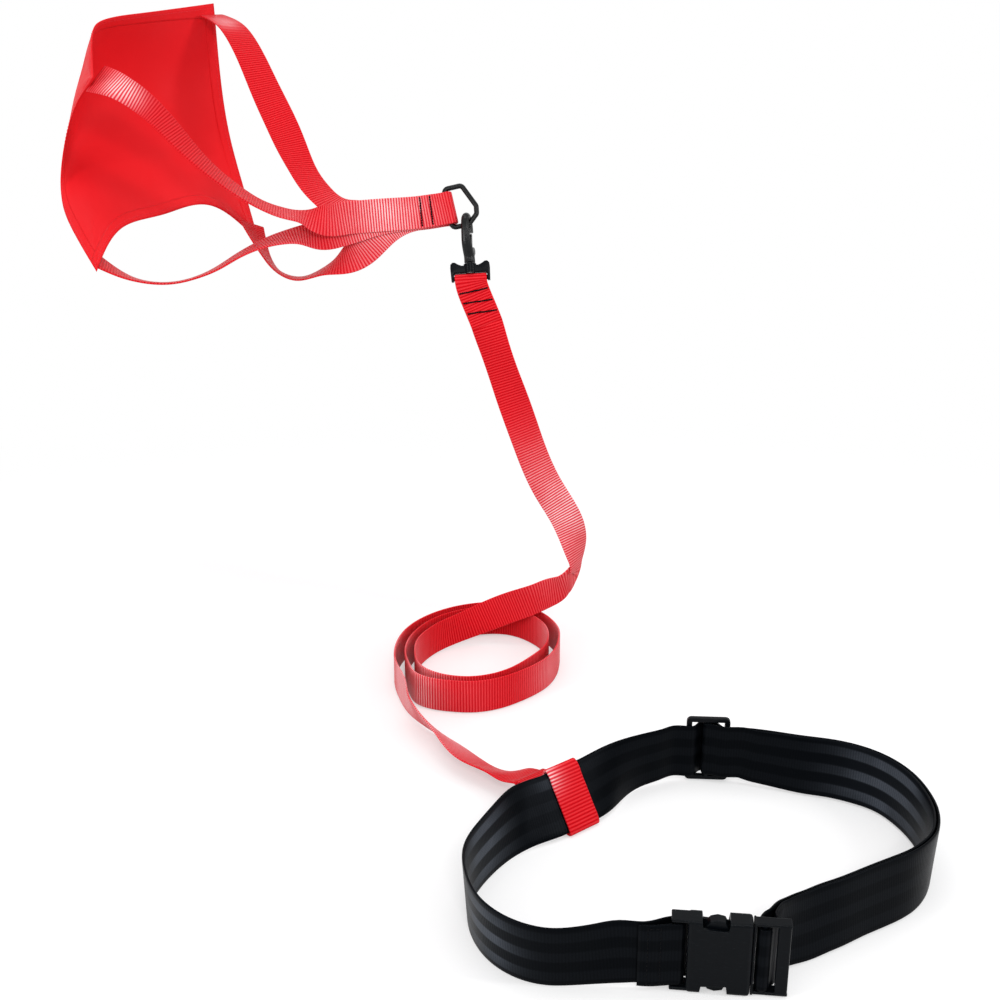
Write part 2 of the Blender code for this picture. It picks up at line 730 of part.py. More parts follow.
def build_slider(frame):
    """Three-bar slider: a rounded plate with two slots."""
    long = SLIDER_LENGTH / 2
    high = SLIDER_HEIGHT / 2
    corner = 3.0
    outline = []
    for sx, sz, start in ((1, 1, 0), (-1, 1, 90), (-1, -1, 180), (1, -1, 270)):
        centre = (sx * (long - corner), sz * (high - corner))
        outline += circle_rows(centre, corner, start, start + 90, 5)
    slider = add_object(
        "slider",
        plate(outline, -SLIDER_THICK / 2, SLIDER_THICK / 2, 0.6),
        surface("slider plastic", BLACK_PLASTIC, 0.45),
        frame,
    )
    slot_high = BELT_WIDTH / 2 + 1.2
    slot_long = long - SLIDER_RAIL
    slot = box((-slot_long, -4, -slot_high), (slot_long, 4, slot_high))
    shape_with(slider, add_object("slider_slots", slot, None, frame), "DIFFERENCE")
    bar = rod((0, 0, -slot_high - 1.0), (0, 0, slot_high + 1.0), SLIDER_BAR)
    shape_with(slider, add_object("slider_bar", bar, None, frame, smooth=True), "UNION")


# Tether

def tether_rows():
    rows = list(HANG_ROUTE)
    for angle, radius, height in LOOPS_ROUTE:
        turn = math.radians(angle)
        x = LOOPS_CENTRE[0] + radius * math.cos(turn)
        y = LOOPS_CENTRE[1] + radius * math.sin(turn)
        lean = 0.12 if angle < 90 else 0.0
        rows.append((x, y, height, -lean * math.cos(turn), -lean * math.sin(turn), -1.0))
    rows += list(FLOOR_ROUTE)
    centre, along, outward = loop_frame()
    for out, height in ((51.0, 12.6), (40.4, 15.0)):
        rows.append((*(centre + outward * out + np.array((0.0, 0.0, height))), *along))
    return rows


def loop_frame():
    """Middle of the belt under the red loop, direction along the belt, direction outwards."""
    along = unit((0.751, 0.661, 0.0))
    outward = np.array((-along[1], along[0], 0.0))
    return np.array((*LOOP_POINT, 0.0)), along, outward


def build_tether(eye_frame):
    axis = TETHER_AXIS
    rows = tether_rows()
    webbing(
        "tether_strap",
        rows,
        TETHER_WIDTH,
        TETHER_THICK,
        surface("tether webbing", RED, 0.6),
        axis,
        longest=9.0,
        turn=14.0,
    )
    print("tether strap length", round(route_length(rows)))
    print("tether strap least gap to itself", round(least_gap(rows, TETHER_WIDTH, TETHER_THICK, 45.0), 2))

    # The sewn loop round the belt: under its lower edge, up its inner face, over the top edge
    centre, along, outward = loop_frame()
    lean = math.radians(LOOP_LEAN)
    half = BELT_WIDTH / 2
    middle = 2.3 + half * math.cos(lean)
    side = np.array((math.sin(lean), math.cos(lean)))
    face = np.array((math.cos(lean), -math.sin(lean)))
    away = BELT_THICK / 2 + SKIN_GAP + TETHER_THICK / 2 + 0.1
    base = np.array((0.0, middle))
    bottom = base - side * half
    top = base + side * half
    route = [(38.6, 15.4), (28.0, 16.4), (17.0, 15.0), (7.0, 9.6), (-3.0, 3.4)]
    route.append(tuple(bottom - side * 0.9 + face * 1.1))
    route.append(tuple(bottom - side * 1.6 - face * 0.7))
    route.append(tuple(bottom + side * 1.4 - face * away))
    route += [tuple(base + side * share * half - face * away) for share in (-0.6, -0.2, 0.2, 0.6)]
    route.append(tuple(top - side * 1.2 - face * away))
    route.append(tuple(top + side * 1.7))
    route.append(tuple(top + side * 0.9 + face * 1.5))
    route += [(14.6, 27.0), (17.5, 21.0), (22.0, 18.7), (29.0, 18.5), (38.6, 17.4)]
    loop = []
    for o, z in route:
        point = centre + outward * o + np.array((0.0, 0.0, z))
        loop.append((*point, *along))
    webbing(
        "tether_belt_loop",
        loop,
        TETHER_WIDTH,
        TETHER_THICK,
        surface("belt loop webbing", RED, 0.6),
        axis,
    )
    print("belt loop length", round(route_length(loop)))

    # The sewn fold through the eye of the hook
    down = [(8.0, 0.95, -30.0), (4.6, 0.98, -20.0), (1.2, 1.5, -9.5), (0.0, 2.7, -3.0)]
    radius = EYE_BAR_RADIUS + SKIN_GAP + TETHER_THICK / 2
    turn = [(0.0, radius * math.cos(a), radius * math.sin(a)) for a in np.radians((0, 30, 60, 90, 120, 150, 180))]
    up = [(x, -y, z) for x, y, z in reversed(down)]
    fold = []
    for x, y, z in [(10.4, 0.93, -37.6)] + down + turn + up + [(9.0, -0.95, -33.0)]:
        point = eye_frame @ Vector((x, -y, z - EYE_BAR_DROP))
        width = eye_frame.to_3x3() @ Vector((1.0, 0.0, 0.26 * min(1.0, max(0.0, -z / 20.0))))
        fold.append((*point, *width))
    webbing(
        "tether_hook_fold",
        fold,
        TETHER_WIDTH,
        TETHER_THICK,
        surface("hook fold webbing", RED, 0.6),
        axis,
    )
    print("hook fold length", round(route_length(fold)))

    # The moulded eye of the swivel: cross piece with two horns and a round bar
    eye = add_object(
        "swivel_eye",
        box((-EYE_WIDTH / 2, -3.0, -10.4), (EYE_WIDTH / 2, 3.0, 3.6), 1.6),
        surface("eye plastic", BLACK_PLASTIC, 0.4),
        eye_frame,
    )
    room = TETHER_WIDTH / 2 + 0.9
    window = box((-room, -6.0, -14.0), (room, 6.0, -1.3))
    shape_with(eye, add_object("eye_window", window, None, eye_frame), "DIFFERENCE")
    bar = rod((-room - 1.0, 0, -EYE_BAR_DROP), (room + 1.0, 0, -EYE_BAR_DROP), EYE_BAR_RADIUS)
    shape_with(eye, add_object("eye_bar", bar, None, eye_frame, smooth=True), "UNION")
    bore = rod((0, 0, -4.0), (0, 0, 6.0), 2.4, 20)
    shape_with(eye, add_object("eye_bore", bore, None, eye_frame, smooth=True), "DIFFERENCE")


# Hook and ring

def build_hook(frame):
    """Snap hook: local Z is its shank, local Y the side that it opens to."""
    arc = circle_rows((0.0, CROOK_LEVEL), CROOK_RADIUS, 180, 0, 9)
    path = [(0.0, 4.0), (0.0, 8.0), (-2.6, 12.5), (-6.2, 18.0), (-7.7, 25.0)]
    path += arc + [(CROOK_RADIUS, 28.6)]
    wide = [4.4, 4.3, 4.2, 3.9, 3.4] + list(np.linspace(3.0, 2.5, 9)) + [2.5]
    thick = [4.4, 4.2, 3.6, 2.9, 2.6] + [2.5] * 9 + [2.3]
    rows = [(0.0, y, z, w, t, 0.0) for (y, z), w, t in zip(path, wide, thick)]
    dense = smooth_curve(rows, 0.5)
    chosen = dense[:: 4]
    if np.linalg.norm(chosen[-1, :3] - dense[-1, :3]) > 0.3:
        chosen = np.vstack([chosen, dense[-1]])
    along = np.gradient(chosen[:, :3], axis=0)
    rings = []
    for row, way in zip(chosen, along):
        way = unit(way)
        normal = np.array((0.0, -way[2], way[1]))
        ring = []
        for k in range(12):
            a = 2 * math.pi * k / 12
            offset = np.array((row[3] * math.cos(a), 0.0, 0.0)) + normal * row[4] * math.sin(a)
            ring.append(row[:3] + offset)
        rings.append(ring)
    metal = surface("hook metal", BLACK_METAL, 0.4, 0.6)
    hook = add_object("hook_body", tube(rings), metal, frame, smooth=True)
    pivot_y, pivot_z = 4.4, 13.4
    lug = [(-1.5, 8.0), (4.0, 9.2), (7.0, 11.6), (7.3, 14.4), (5.4, 16.2), (2.6, 16.2), (-2.0, 15.0)]
    lug_mesh = plate([(z, y) for y, z in lug], -3.4, 3.4, 0.4)
    turn = Matrix(((0, 1, 0, 0), (0, 0, 1, 0), (1, 0, 0, 0), (0, 0, 0, 1)))
    lug_mesh.transform(turn)
    shape_with(hook, add_object("hook_lug", lug_mesh, None, frame), "UNION")
    slot_middle = (pivot_y + 0.2, pivot_z + 0.7)
    slot = rod((-1.6, *slot_middle), (1.6, *slot_middle), 4.3, 24)
    shape_with(hook, add_object("hook_slot", slot, None, frame, smooth=True), "DIFFERENCE")
    pin = rod((-2.6, pivot_y, pivot_z), (2.6, pivot_y, pivot_z), 0.8, 12)
    shape_with(hook, add_object("hook_gate_pin", pin, None, frame, smooth=True), "UNION")
    stem = rod((0, 0, -2.2), (0, 0, 5.0), 2.0, 20)
    shape_with(hook, add_object("hook_stem", stem, None, frame, smooth=True), "UNION")
    head = rod((0, 0, -3.5), (0, 0, -1.7), 3.4, 20)
    shape_with(hook, add_object("hook_stem_head", head, None, frame, smooth=True), "UNION")

    gate_frame = frame @ Matrix.Translation((0.0, pivot_y, pivot_z))
    tip = (CROOK_RADIUS - pivot_y, 27.5 - pivot_z)
    lean = math.atan2(tip[0], tip[1])
    side = (math.cos(lean), -math.sin(lean))
    outline = circle_rows((0.0, 0.0), 2.5, -lean * 57.3 + 180, -lean * 57.3 + 360, 9)
    end = [(tip[0] + side[0] * 1.3, tip[1] + 0.0), (tip[0] - side[0] * 1.3, tip[1] + 0.0)]
    outline += end
    gate_mesh = plate([(z, y) for y, z in outline], -1.25, 1.25)
    gate_mesh.transform(turn)
    gate = add_object("hook_gate", gate_mesh, surface("gate metal", BLACK_METAL, 0.4, 0.6), gate_frame)
    hole = rod((-3, 0, 0), (3, 0, 0), 1.15, 16)
    shape_with(gate, add_object("hook_gate_hole", hole, None, gate_frame, smooth=True), "DIFFERENCE")


def ring_path():
    """Middle line of the ring in its own plane: along the bar, and away from it."""
    corner = 3.0
    path = circle_rows((-RING_HALF + corner, corner), corner, 270, 180, 5)
    arc = np.radians(np.linspace(-90, 90, 19))
    path += [(RING_HALF * math.sin(a), RING_SIDE + RING_ARC * math.cos(a)) for a in arc]
    path += circle_rows((RING_HALF - corner, corner), corner, 0, -90, 5)
    return path


def build_ring(frame):
    rings = []
    path = np.array(ring_path())
    count = len(path)
    for k in range(count):
        way = path[(k + 1) % count] - path[k - 1]
        way = way / np.linalg.norm(way)
        out = np.array((-way[1], way[0]))
        ring = []
        for j in range(12):
            a = 2 * math.pi * j / 12
            flat = path[k] + out * WIRE_RADIUS * math.cos(a)
            ring.append((flat[0], flat[1], WIRE_RADIUS * math.sin(a)))
        rings.append(ring)
    bm = tube(rings, closed=True)
    add_object("d_ring", bm, surface("ring metal", BLACK_METAL, 0.4, 0.6), frame, smooth=True)


# Parachute

def edge_curve(points):
    rows = smooth_curve([tuple(float(c) for c in point) for point in points], 1.0)
    reach = np.concatenate([[0.0], np.cumsum(np.linalg.norm(np.diff(rows, axis=0), axis=1))])
    share = reach / reach[-1]
    return lambda t: np.array([np.interp(t, share, rows[:, k]) for k in range(3)])


TOP = edge_curve(CLOTH_TOP)
BOTTOM = edge_curve(CLOTH_BOTTOM)
NEAR = edge_curve(CLOTH_NEAR)
FAR = edge_curve(CLOTH_FAR)


def cloth_middle(u, v):
    """Middle of the cloth: u from the near edge to the far one, v from the bottom to the top."""
    across = (1 - v) * BOTTOM(u) + v * TOP(u)
    upward = (1 - u) * NEAR(v) + u * FAR(v)
    corners = (1 - u) * ((1 - v) * BOTTOM(0.0) + v * TOP(0.0)) + u * ((1 - v) * BOTTOM(1.0) + v * TOP(1.0))
    cup = np.array((-0.25, 0.93, 0.25)) * CUP_DEPTH * math.sin(math.pi * u) * math.sin(math.pi * v)
    return across + upward - corners + cup


def cloth_normal(u, v):
    """Unit normal on the hollow side."""
    small = 0.004
    u0, u1 = max(0.0, u - small), min(1.0, u + small)
    v0, v1 = max(0.0, v - small), min(1.0, v + small)
    along = cloth_middle(u1, v) - cloth_middle(u0, v)
    upward = cloth_middle(u, v1) - cloth_middle(u, v0)
    return unit(np.cross(along, upward))


def cloth_sheet(u_range, v_range, counts, offset, thick):
    """A closed sheet over part of the cloth, offset to the hollow side."""
    columns = np.linspace(*u_range, counts[0] + 1)
    rows = np.linspace(*v_range, counts[1] + 1)
    bm = bmesh.new()
    front = {}
    rear = {}
    for i, u in enumerate(columns):
        for j, v in enumerate(rows):
            middle = cloth_middle(u, v) - np.array(RING_CENTRE)
            normal = cloth_normal(u, v)
            front[i, j] = bm.verts.new(middle + normal * (offset + thick / 2))
            rear[i, j] = bm.verts.new(middle + normal * (offset - thick / 2))
    for i in range(counts[0]):
        for j in range(counts[1]):
            square = ((i, j), (i + 1, j), (i + 1, j + 1), (i, j + 1))
            bm.faces.new([front[key] for key in square])
            bm.faces.new([rear[key] for key in reversed(square)])
    last_i, last_j = counts
    rim = [(i, 0) for i in range(last_i)] + [(last_i, j) for j in range(last_j)]
    rim += [(i, last_j) for i in range(last_i, 0, -1)] + [(0, j) for j in range(last_j, 0, -1)]
    for one, two in zip(rim, rim[1:] + rim[:1]):
        bm.faces.new((rear[one], rear[two], front[two], front[one]))
    return bm


def build_cloth():
    frame = Matrix.Translation(Vector(RING_CENTRE))
    sheet = cloth_sheet((0.0, 1.0), (0.0, 1.0), (22, 22), 0.0, CLOTH_THICK)
    add_object("canopy", sheet, surface("canopy cloth", RED_CLOTH, 0.5), frame)
    share = HEM_WIDTH / PANEL_SIDE
    start = 2 / PANEL_SIDE
    stop = share + 1.5 / PANEL_SIDE
    offset = CLOTH_THICK / 2 + SKIN_GAP + HEM_THICK / 2 + 0.1
    hems = {
        "canopy_hem_top": ((start, 1 - start), (1 - share, 1 - start), (22, 2)),
        "canopy_hem_bottom": ((start, 1 - start), (start, share), (22, 2)),
        "canopy_hem_near": ((start, share), (stop, 1 - stop), (2, 20)),
        "canopy_hem_far": ((1 - share, 1 - start), (stop, 1 - stop), (2, 20)),
    }
    for name, (u_range, v_range, counts) in hems.items():
        colour = surface(name.replace("_", " "), RED_CLOTH, 0.5)
        add_object(name, cloth_sheet(u_range, v_range, counts, offset, HEM_THICK), colour, frame)


def corner_rows(u, v, run, side):
    """The last row of a strap, on one side of the cloth just inside a corner."""
    inner = CORNER_INSET / PANEL_SIDE / math.sqrt(2)
    pu = inner if u == 0 else 1 - inner
    pv = inner if v == 0 else 1 - inner
    middle = cloth_middle(pu, pv)
    normal = cloth_normal(pu, pv)
    end = middle + normal * side
    way = unit(end - np.array(run[-1][:3]))
    width = unit(np.cross(way, normal))
    if abs(float(np.dot(way, normal))) > 0.6:
        width = np.array(run[-1][3:])
        width = unit(width - 0.7 * normal * float(np.dot(width, normal)))
    if float(np.dot(width, run[-1][3:])) < 0:
        width = -width
    return [(*end, *width)]


def build_straps():
    up = -unit(RING_BAR)
    stack = smooth_curve(STACK_ROUTE, 0.5)
    reach = np.concatenate([[0.0], np.cumsum(np.linalg.norm(np.diff(stack, axis=0), axis=1))])
    away = unit(stack[4] - stack[0])
    towards = -away
    viewer = unit(np.cross(up, towards))
    if viewer[1] > 0:
        viewer = -viewer

    def on_stack(distance, side, rise=0.0):
        """Point and width at a distance from the bar, side towards the viewer, rise upwards."""
        point = np.array([np.interp(distance, reach, stack[:, k]) for k in range(3)])
        share = distance / reach[-1]
        width = unit(up * (1 - share) + np.array((-0.03, 0.05, 1.0)) * share)
        return (*(point + viewer * side + width * rise), *width)

    bar = np.array(RING_CENTRE)
    layer = TETHER_THICK + 0.5
    plans = {
        "bridle_strap_upper": (1, STRAP_TOP_NEAR, (0, 1, 5.0), STRAP_TOP_FAR, (1, 1, 5.0)),
        "bridle_strap_lower": (0, STRAP_LOW_NEAR, (0, 0, -4.6), STRAP_LOW_FAR, (1, 0, 4.0)),
    }
    for name, (order, near_run, near_corner, far_run, far_corner) in plans.items():
        radius = WIRE_RADIUS + SKIN_GAP + TETHER_THICK / 2 + order * layer
        side = layer / 2 + order * layer
        near_stops, far_stops = STACK_STOPS[order]
        near = [on_stack(distance, side + spread, rise) for distance, rise, spread in near_stops]
        near.append(on_stack(13.0, side + 0.45 + 0.35 * order))
        far = [on_stack(distance, -side - spread, rise) for distance, rise, spread in far_stops]
        far[0] = on_stack(13.0, -side - 0.45 - 0.35 * order)
        turn = []
        for angle in np.radians(np.linspace(115, -115, 9)):
            point = bar + towards * radius * math.cos(angle) + viewer * radius * math.sin(angle)
            turn.append((*point, *up))
        rows = near + turn + far
        for run, corner, end in ((near_run, near_corner, "start"), (far_run, far_corner, "finish")):
            u, v, clear = corner
            outer = [tuple(row) for row in run] + corner_rows(u, v, run, clear)
            rows = outer[::-1] + rows if end == "start" else rows + outer
        colour = surface(name.replace("_", " "), RED, 0.6)
        webbing(name, rows, TETHER_WIDTH, TETHER_THICK, colour, RING_CENTRE)
        print(name, "length", round(route_length(rows)))


def main():
    for existing in list(bpy.data.objects):
        bpy.data.objects.remove(existing, do_unlink=True)
    buckle_frame = turned_frame(BUCKLE_CENTRE, BUCKLE_ANGLE, BUCKLE_LEAN)
    slider_frame = turned_frame(SLIDER_CENTRE, SLIDER_ANGLE, SLIDER_LEAN)
    build_belt(buckle_frame, slider_frame)
    build_buckle(buckle_frame)
    build_slider(slider_frame)

    eye_frame = frame_at(EYE_CENTRE, (1.0, 0.0, 0.0714), SHANK)
    build_tether(eye_frame)
    hook_frame = eye_frame @ Matrix.Rotation(math.radians(-HOOK_TURN), 4, "Z")
    build_hook(hook_frame)

    ring_frame = frame_at(RING_CENTRE, RING_BAR, np.cross(RING_BAR, RING_DEPTH))
    build_ring(ring_frame)
    build_cloth()
    build_straps()

    # What turns or slides with what
    bpy.context.view_layer.update()
    slider_pivot = pivot("slider_pivot", Matrix.Translation(Vector(SLIDER_AXIS)))
    plug_pivot = pivot("plug_pivot", buckle_frame)
    tether_pivot = pivot("tether_pivot", Matrix.Translation(Vector(TETHER_AXIS)))
    hook_pivot = pivot("hook_pivot", hook_frame)
    ring_pivot = pivot("ring_pivot", hook_frame @ Matrix.Translation((0.0, 0.0, RING_REST)))
    bridle_pivot = pivot("bridle_pivot", ring_frame)
    carried_by(slider_pivot, ("slider",))
    carried_by(plug_pivot, ("buckle_plug", "belt_plug_turn", "latch_arm_upper", "latch_arm_lower"))
    carried_by(tether_pivot, ("tether_belt_loop", "tether_strap", "tether_hook_fold", "swivel_eye", "hook_pivot"))
    carried_by(hook_pivot, ("hook_body", "hook_gate", "ring_pivot"))
    carried_by(ring_pivot, ("d_ring", "bridle_pivot"))
    sewn = ["bridle_strap_upper", "bridle_strap_lower", "canopy"]
    sewn += [f"canopy_hem_{side}" for side in ("top", "bottom", "near", "far")]
    carried_by(bridle_pivot, sewn)


main()
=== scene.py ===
"""Swim parachute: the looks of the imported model.

Routes follow those of the CAD source, and stay in the space of its solids. They are written in
millimetres and turned into metres where a mesh is made. X runs to the right, Y away from the viewer,
Z up from the floor."""
import math

import bmesh
import bpy
import numpy as np
from mathutils import Matrix, Vector


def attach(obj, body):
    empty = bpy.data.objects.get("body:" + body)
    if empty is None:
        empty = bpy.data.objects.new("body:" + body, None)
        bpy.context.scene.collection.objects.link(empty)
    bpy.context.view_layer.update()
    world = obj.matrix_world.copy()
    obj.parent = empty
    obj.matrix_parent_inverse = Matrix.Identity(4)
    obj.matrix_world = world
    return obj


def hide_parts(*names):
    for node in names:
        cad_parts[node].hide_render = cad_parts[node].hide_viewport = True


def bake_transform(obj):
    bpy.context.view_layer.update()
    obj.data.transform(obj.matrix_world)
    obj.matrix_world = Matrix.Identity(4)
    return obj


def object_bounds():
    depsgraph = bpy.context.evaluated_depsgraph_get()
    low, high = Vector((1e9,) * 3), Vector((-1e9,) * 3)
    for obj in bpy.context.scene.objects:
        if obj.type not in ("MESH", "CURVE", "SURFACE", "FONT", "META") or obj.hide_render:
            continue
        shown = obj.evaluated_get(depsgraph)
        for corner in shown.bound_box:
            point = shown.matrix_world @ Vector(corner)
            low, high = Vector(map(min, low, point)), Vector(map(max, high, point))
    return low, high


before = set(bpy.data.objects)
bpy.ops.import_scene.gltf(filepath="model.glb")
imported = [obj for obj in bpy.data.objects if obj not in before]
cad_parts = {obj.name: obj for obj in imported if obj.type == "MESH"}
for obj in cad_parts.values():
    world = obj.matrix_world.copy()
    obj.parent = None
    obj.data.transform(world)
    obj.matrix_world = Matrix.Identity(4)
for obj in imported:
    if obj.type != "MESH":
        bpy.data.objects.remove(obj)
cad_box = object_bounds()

MM = 0.001
scene = bpy.context.scene

# Sizes in millimetres
BELT_WIDTH = 38.0
BELT_THICK = 1.6
TETHER_WIDTH = 25.0
TETHER_THICK = 1.4
SKIN_GAP = 0.3
BELT_LAYER = BELT_THICK + 0.7
BUCKLE = ((157.0, -310.4, 22.4), -7.0, 5.0)
SLIDER = ((177.0, -91.0, 23.25), -4.0, 5.0)
BAR_RADIUS = 2.0
SOCKET_BAR = -26.4
PLUG_BAR = 16.3
FOLD_RADIUS = BAR_RADIUS + SKIN_GAP + BELT_THICK / 2
SLIDER_BAR = 1.6
WIRE_RADIUS = 2.0
RING_CENTRE = (1.5, 191.5, 343.5)
RING_BAR = (0.224, -0.288, -0.931)
EYE_CENTRE = (18.7, 178.0, 299.6)
SHANK = (-0.068, 0.295, 0.953)
EYE_ACROSS = (1.0, 0.0, 0.0714)
EYE_BAR_DROP = 8.0
EYE_BAR_RADIUS = 1.9
EYE_BAR_HALF = 13.9
CLOTH_THICK = 0.7
HEM_WIDTH = 11.0
PANEL_SIDE = 203.0
CUP_DEPTH = 13.0
CORNER_INSET = 12.0
CURVE_STEP = 0.4

# Belt round the waist: x, y, lean of the top edge outwards in degrees, height of the lower edge
BELT_ROUTE = (
    (103, -307.1, 3, 2.4), (92, -307.2, 5, 1.3), (79, -308, 8, 0.4), (67, -308, 9, 0.1),
    (54, -304, 8, 0.1), (42, -295, 7, 0.1), (33, -283, 6, 0.1), (25, -260, 4, 0.1),
    (24, -234, 5, 0.1), (34, -205, 7, 0.1), (46, -183, 15, 0.6), (58, -167.5, 28, 1.6),
    (73.5, -156.5, 33, 2.3), (86, -145.5, 33, 2.3), (98.5, -134.5, 32, 2.3), (111.5, -120.5, 20, 1.4),
    (125, -107.5, 5, 0.9), (137, -100.3, -2, 1.6), (147, -96.3, -4, 2.7),
)
BELT_ROUTE_RIGHT = (
    (208, -97.8, -2, 2.8), (223, -101.6, 3, 1.5), (238, -106, 8, 0.7), (252, -110.3, 9, 0.7),
    (266, -117.5, 9, 0.7), (279, -129, 6, 0.7), (288.3, -146, 6, 0.7), (292.5, -162, 5, 0.7),
    (294, -178, 4, 0.7), (293.3, -193, 4, 0.7), (290, -208, 4, 0.7), (284.5, -221.5, 3, 0.7),
    (277, -232.5, 0, 0.7), (267.5, -242, -3, 0.7), (259, -248, -5, 0.7), (250, -253.5, -6, 0.7),
    (235, -262.7, -6, 0.7), (220, -272, -8, 0.7), (212, -276.4, -9, 0.7), (203.5, -281.2, -9, 0.3),
    (196, -285.6, -7, 0.7), (189.8, -289.6, -4, 1.2), (184.6, -293.8, -1, 2.1), (181.2, -298, 2, 2.9),
)

# The two loops of the tether: angle from the loops' centre, radius, and the height where it isn't lying
LYING = 12.9
LOOPS_CENTRE = (25.0, 80.0)
LOOPS_ROUTE = (
    (67, 61.5, 31.6), (83, 58.5, 24), (101, 55.5, 17.5), (123, 52.5, 13.6), (149, 48), (174, 47.5),
    (195, 49.5), (213, 54.5), (228, 60), (252, 63.5), (267, 62.5), (288, 56.5), (308, 50.5), (328, 48),
    (352, 51), (368, 54.5), (382, 59), (398, 65.5), (412, 71), (434, 78.5), (457, 72.5), (483, 63),
    (509, 56), (534, 54.5), (560, 58), (579, 64.5), (592, 71.5), (602, 73), (616, 72), (628, 71),
    (645, 66.5), (661, 61.5), (691, 59), (718, 61), (729, 63.5), (742, 68.5), (758, 75), (772, 81.5),
    (794, 88), (817, 82), (843, 71.5), (869, 64.5), (896, 62.5), (920, 66.5), (937, 73), (950, 82, 12.7),
)

# Hanging part and the last part on the floor: x, y, z and width direction
TETHER_EXIT = (31.865, 163.88, 257.865, 0.949, 0.074, 0.308)
HANG_ROUTE = (
    (32.7, 163.5, 255.2, 0.96, 0, 0.26), (60, 157, 176.5, 0.90, 0.20, 0.38),
    (80, 155.5, 128, 0.90, 0.20, 0.38), (96.5, 156.5, 99, 0.93, 0.20, 0.28),
    (102.5, 157.5, 80.5, 0.81, 0.57, 0.10), (104.2, 158.5, 68.5, 0.57, 0.82, 0),
    (104, 159, 59, 0.36, 0.90, -0.25), (102, 158.8, 52, 0.30, 0.80, -0.50),
    (97.6, 151.8, 49, 0.31, 0.63, -0.71), (91, 146.4, 45, 0.30, 0.36, -0.88),
    (81.4, 141.3, 42.6, 0.26, 0.10, -0.96), (72, 135.6, 40.6, 0.22, 0, -0.97),
)
FLOOR_ROUTE = (
    (-18.3, -12.3, 12.6, 0.34, 0.15, -0.93), (-6.7, -32.5, 10.9, 0.54, 0.29, -0.79),
    (4.3, -48.2, 9.6, 0.66, 0.41, -0.63), (23.2, -78.9, 8, 0.73, 0.55, -0.41),
    (43.1, -97.7, 9, 0.68, 0.67, -0.31),
)
LOOP_POINT = (86, -145.5)
LOOP_ALONG = (0.751, 0.661, 0.0)
LOOP_LEAN = 33.0

# Stack of the straps at the ring, and how each strap leaves it: distance from the bar, rise, spread
STACK_ROUTE = (
    (1.5, 191.5, 343.5), (-20, 184, 341), (-51, 179, 339), (-77, 176, 337),
)
LOWER_NEAR_STOPS = ((72, -5.5, 0.3), (60, -2.8, 0.2), (48, -1.2, 0.1), (36, -0.3, 0), (26, 0, 0))
LOWER_FAR_STOPS = (
    (14, 0, 0), (24, -0.3, 0), (36, -2.2, 0.1), (48, -7.5, 0.2), (58, -15, 0.6),
    (67, -22.5, 1.6),
)
UPPER_NEAR_STOPS = (
    (79, 0, 0.9), (70, 0, 0.7), (60, 0, 0.5), (50, 0, 0.3), (38, 0, 0.1),
    (26, 0, 0),
)
UPPER_FAR_STOPS = (
    (14, 0, 0), (26, 0, 0.1), (38, 0, 0.3), (50, 0.1, 0.8), (62, 0.6, 1.4),
)
STACK_STOPS = ((LOWER_NEAR_STOPS, LOWER_FAR_STOPS), (UPPER_NEAR_STOPS, UPPER_FAR_STOPS))

# The straps beyond the stack, outwards: x, y, z and width direction
STRAP_TOP_FAR = (
    (-88, 189, 347, 0.42, 0.80, 0.42), (-99.5, 196, 356, 0.57, 0.77, 0.27),
    (-113, 211, 371.5, 0.64, 0.74, 0.20), (-130.5, 236, 401.9, 0.86, 0.35, 0.36),
    (-147.5, 258, 432.4, 0.84, 0.45, 0.25), (-169, 283, 471, 0.73, 0.66, 0.14),
    (-181.5, 296, 484, 0.72, 0.69, 0.05),
)
STRAP_TOP_NEAR = (
    (-87.5, 172.8, 336.8, 0, 0.20, 0.98), (-97, 172.6, 337.3, 0, 0.60, 0.80),
    (-107.1, 173, 338.7, 0, 0.92, 0.38), (-123.8, 170, 342.3, 0.08, 0.98, 0.16),
    (-140.5, 167, 349, 0.15, 0.98, 0.05), (-158.4, 164, 360.6, 0.20, 0.98, 0.02),
    (-178.3, 161, 377.2, 0.25, 0.96, 0.05), (-198.6, 158.5, 399.1, 0.31, 0.91, 0.22),
    (-218.1, 156, 420.6, 0.33, 0.84, 0.40), (-235.4, 151, 434, 0.26, 0.74, 0.60),
)
STRAP_LOW_NEAR = (
    (-84, 177, 327.8, 0, 0.10, 0.99), (-96.5, 176, 325, 0, 0.50, 0.86),
    (-110.7, 173, 325.1, -0.02, 0.86, 0.50), (-126.3, 168.5, 323.2, -0.08, 0.95, 0.27),
    (-141.4, 163, 318.9, -0.13, 0.98, 0.14), (-158.8, 157, 310.9, -0.17, 0.98, 0.04),
    (-172, 150, 303.2, -0.19, 0.98, -0.02), (-191.2, 140, 296, -0.17, 0.98, -0.09),
    (-213.1, 127, 294.7, -0.22, 0.96, -0.10), (-231, 121.5, 299, -0.20, 0.97, -0.05),
)
STRAP_LOW_FAR = (
    (-95.8, 185.5, 297.1, -0.17, 0.98, 0.06), (-114.6, 193, 290, -0.12, 0.99, -0.05),
    (-130.5, 203, 291.4, -0.08, 0.98, -0.12), (-143.4, 216, 298.7, 0.02, 0.97, -0.20),
)

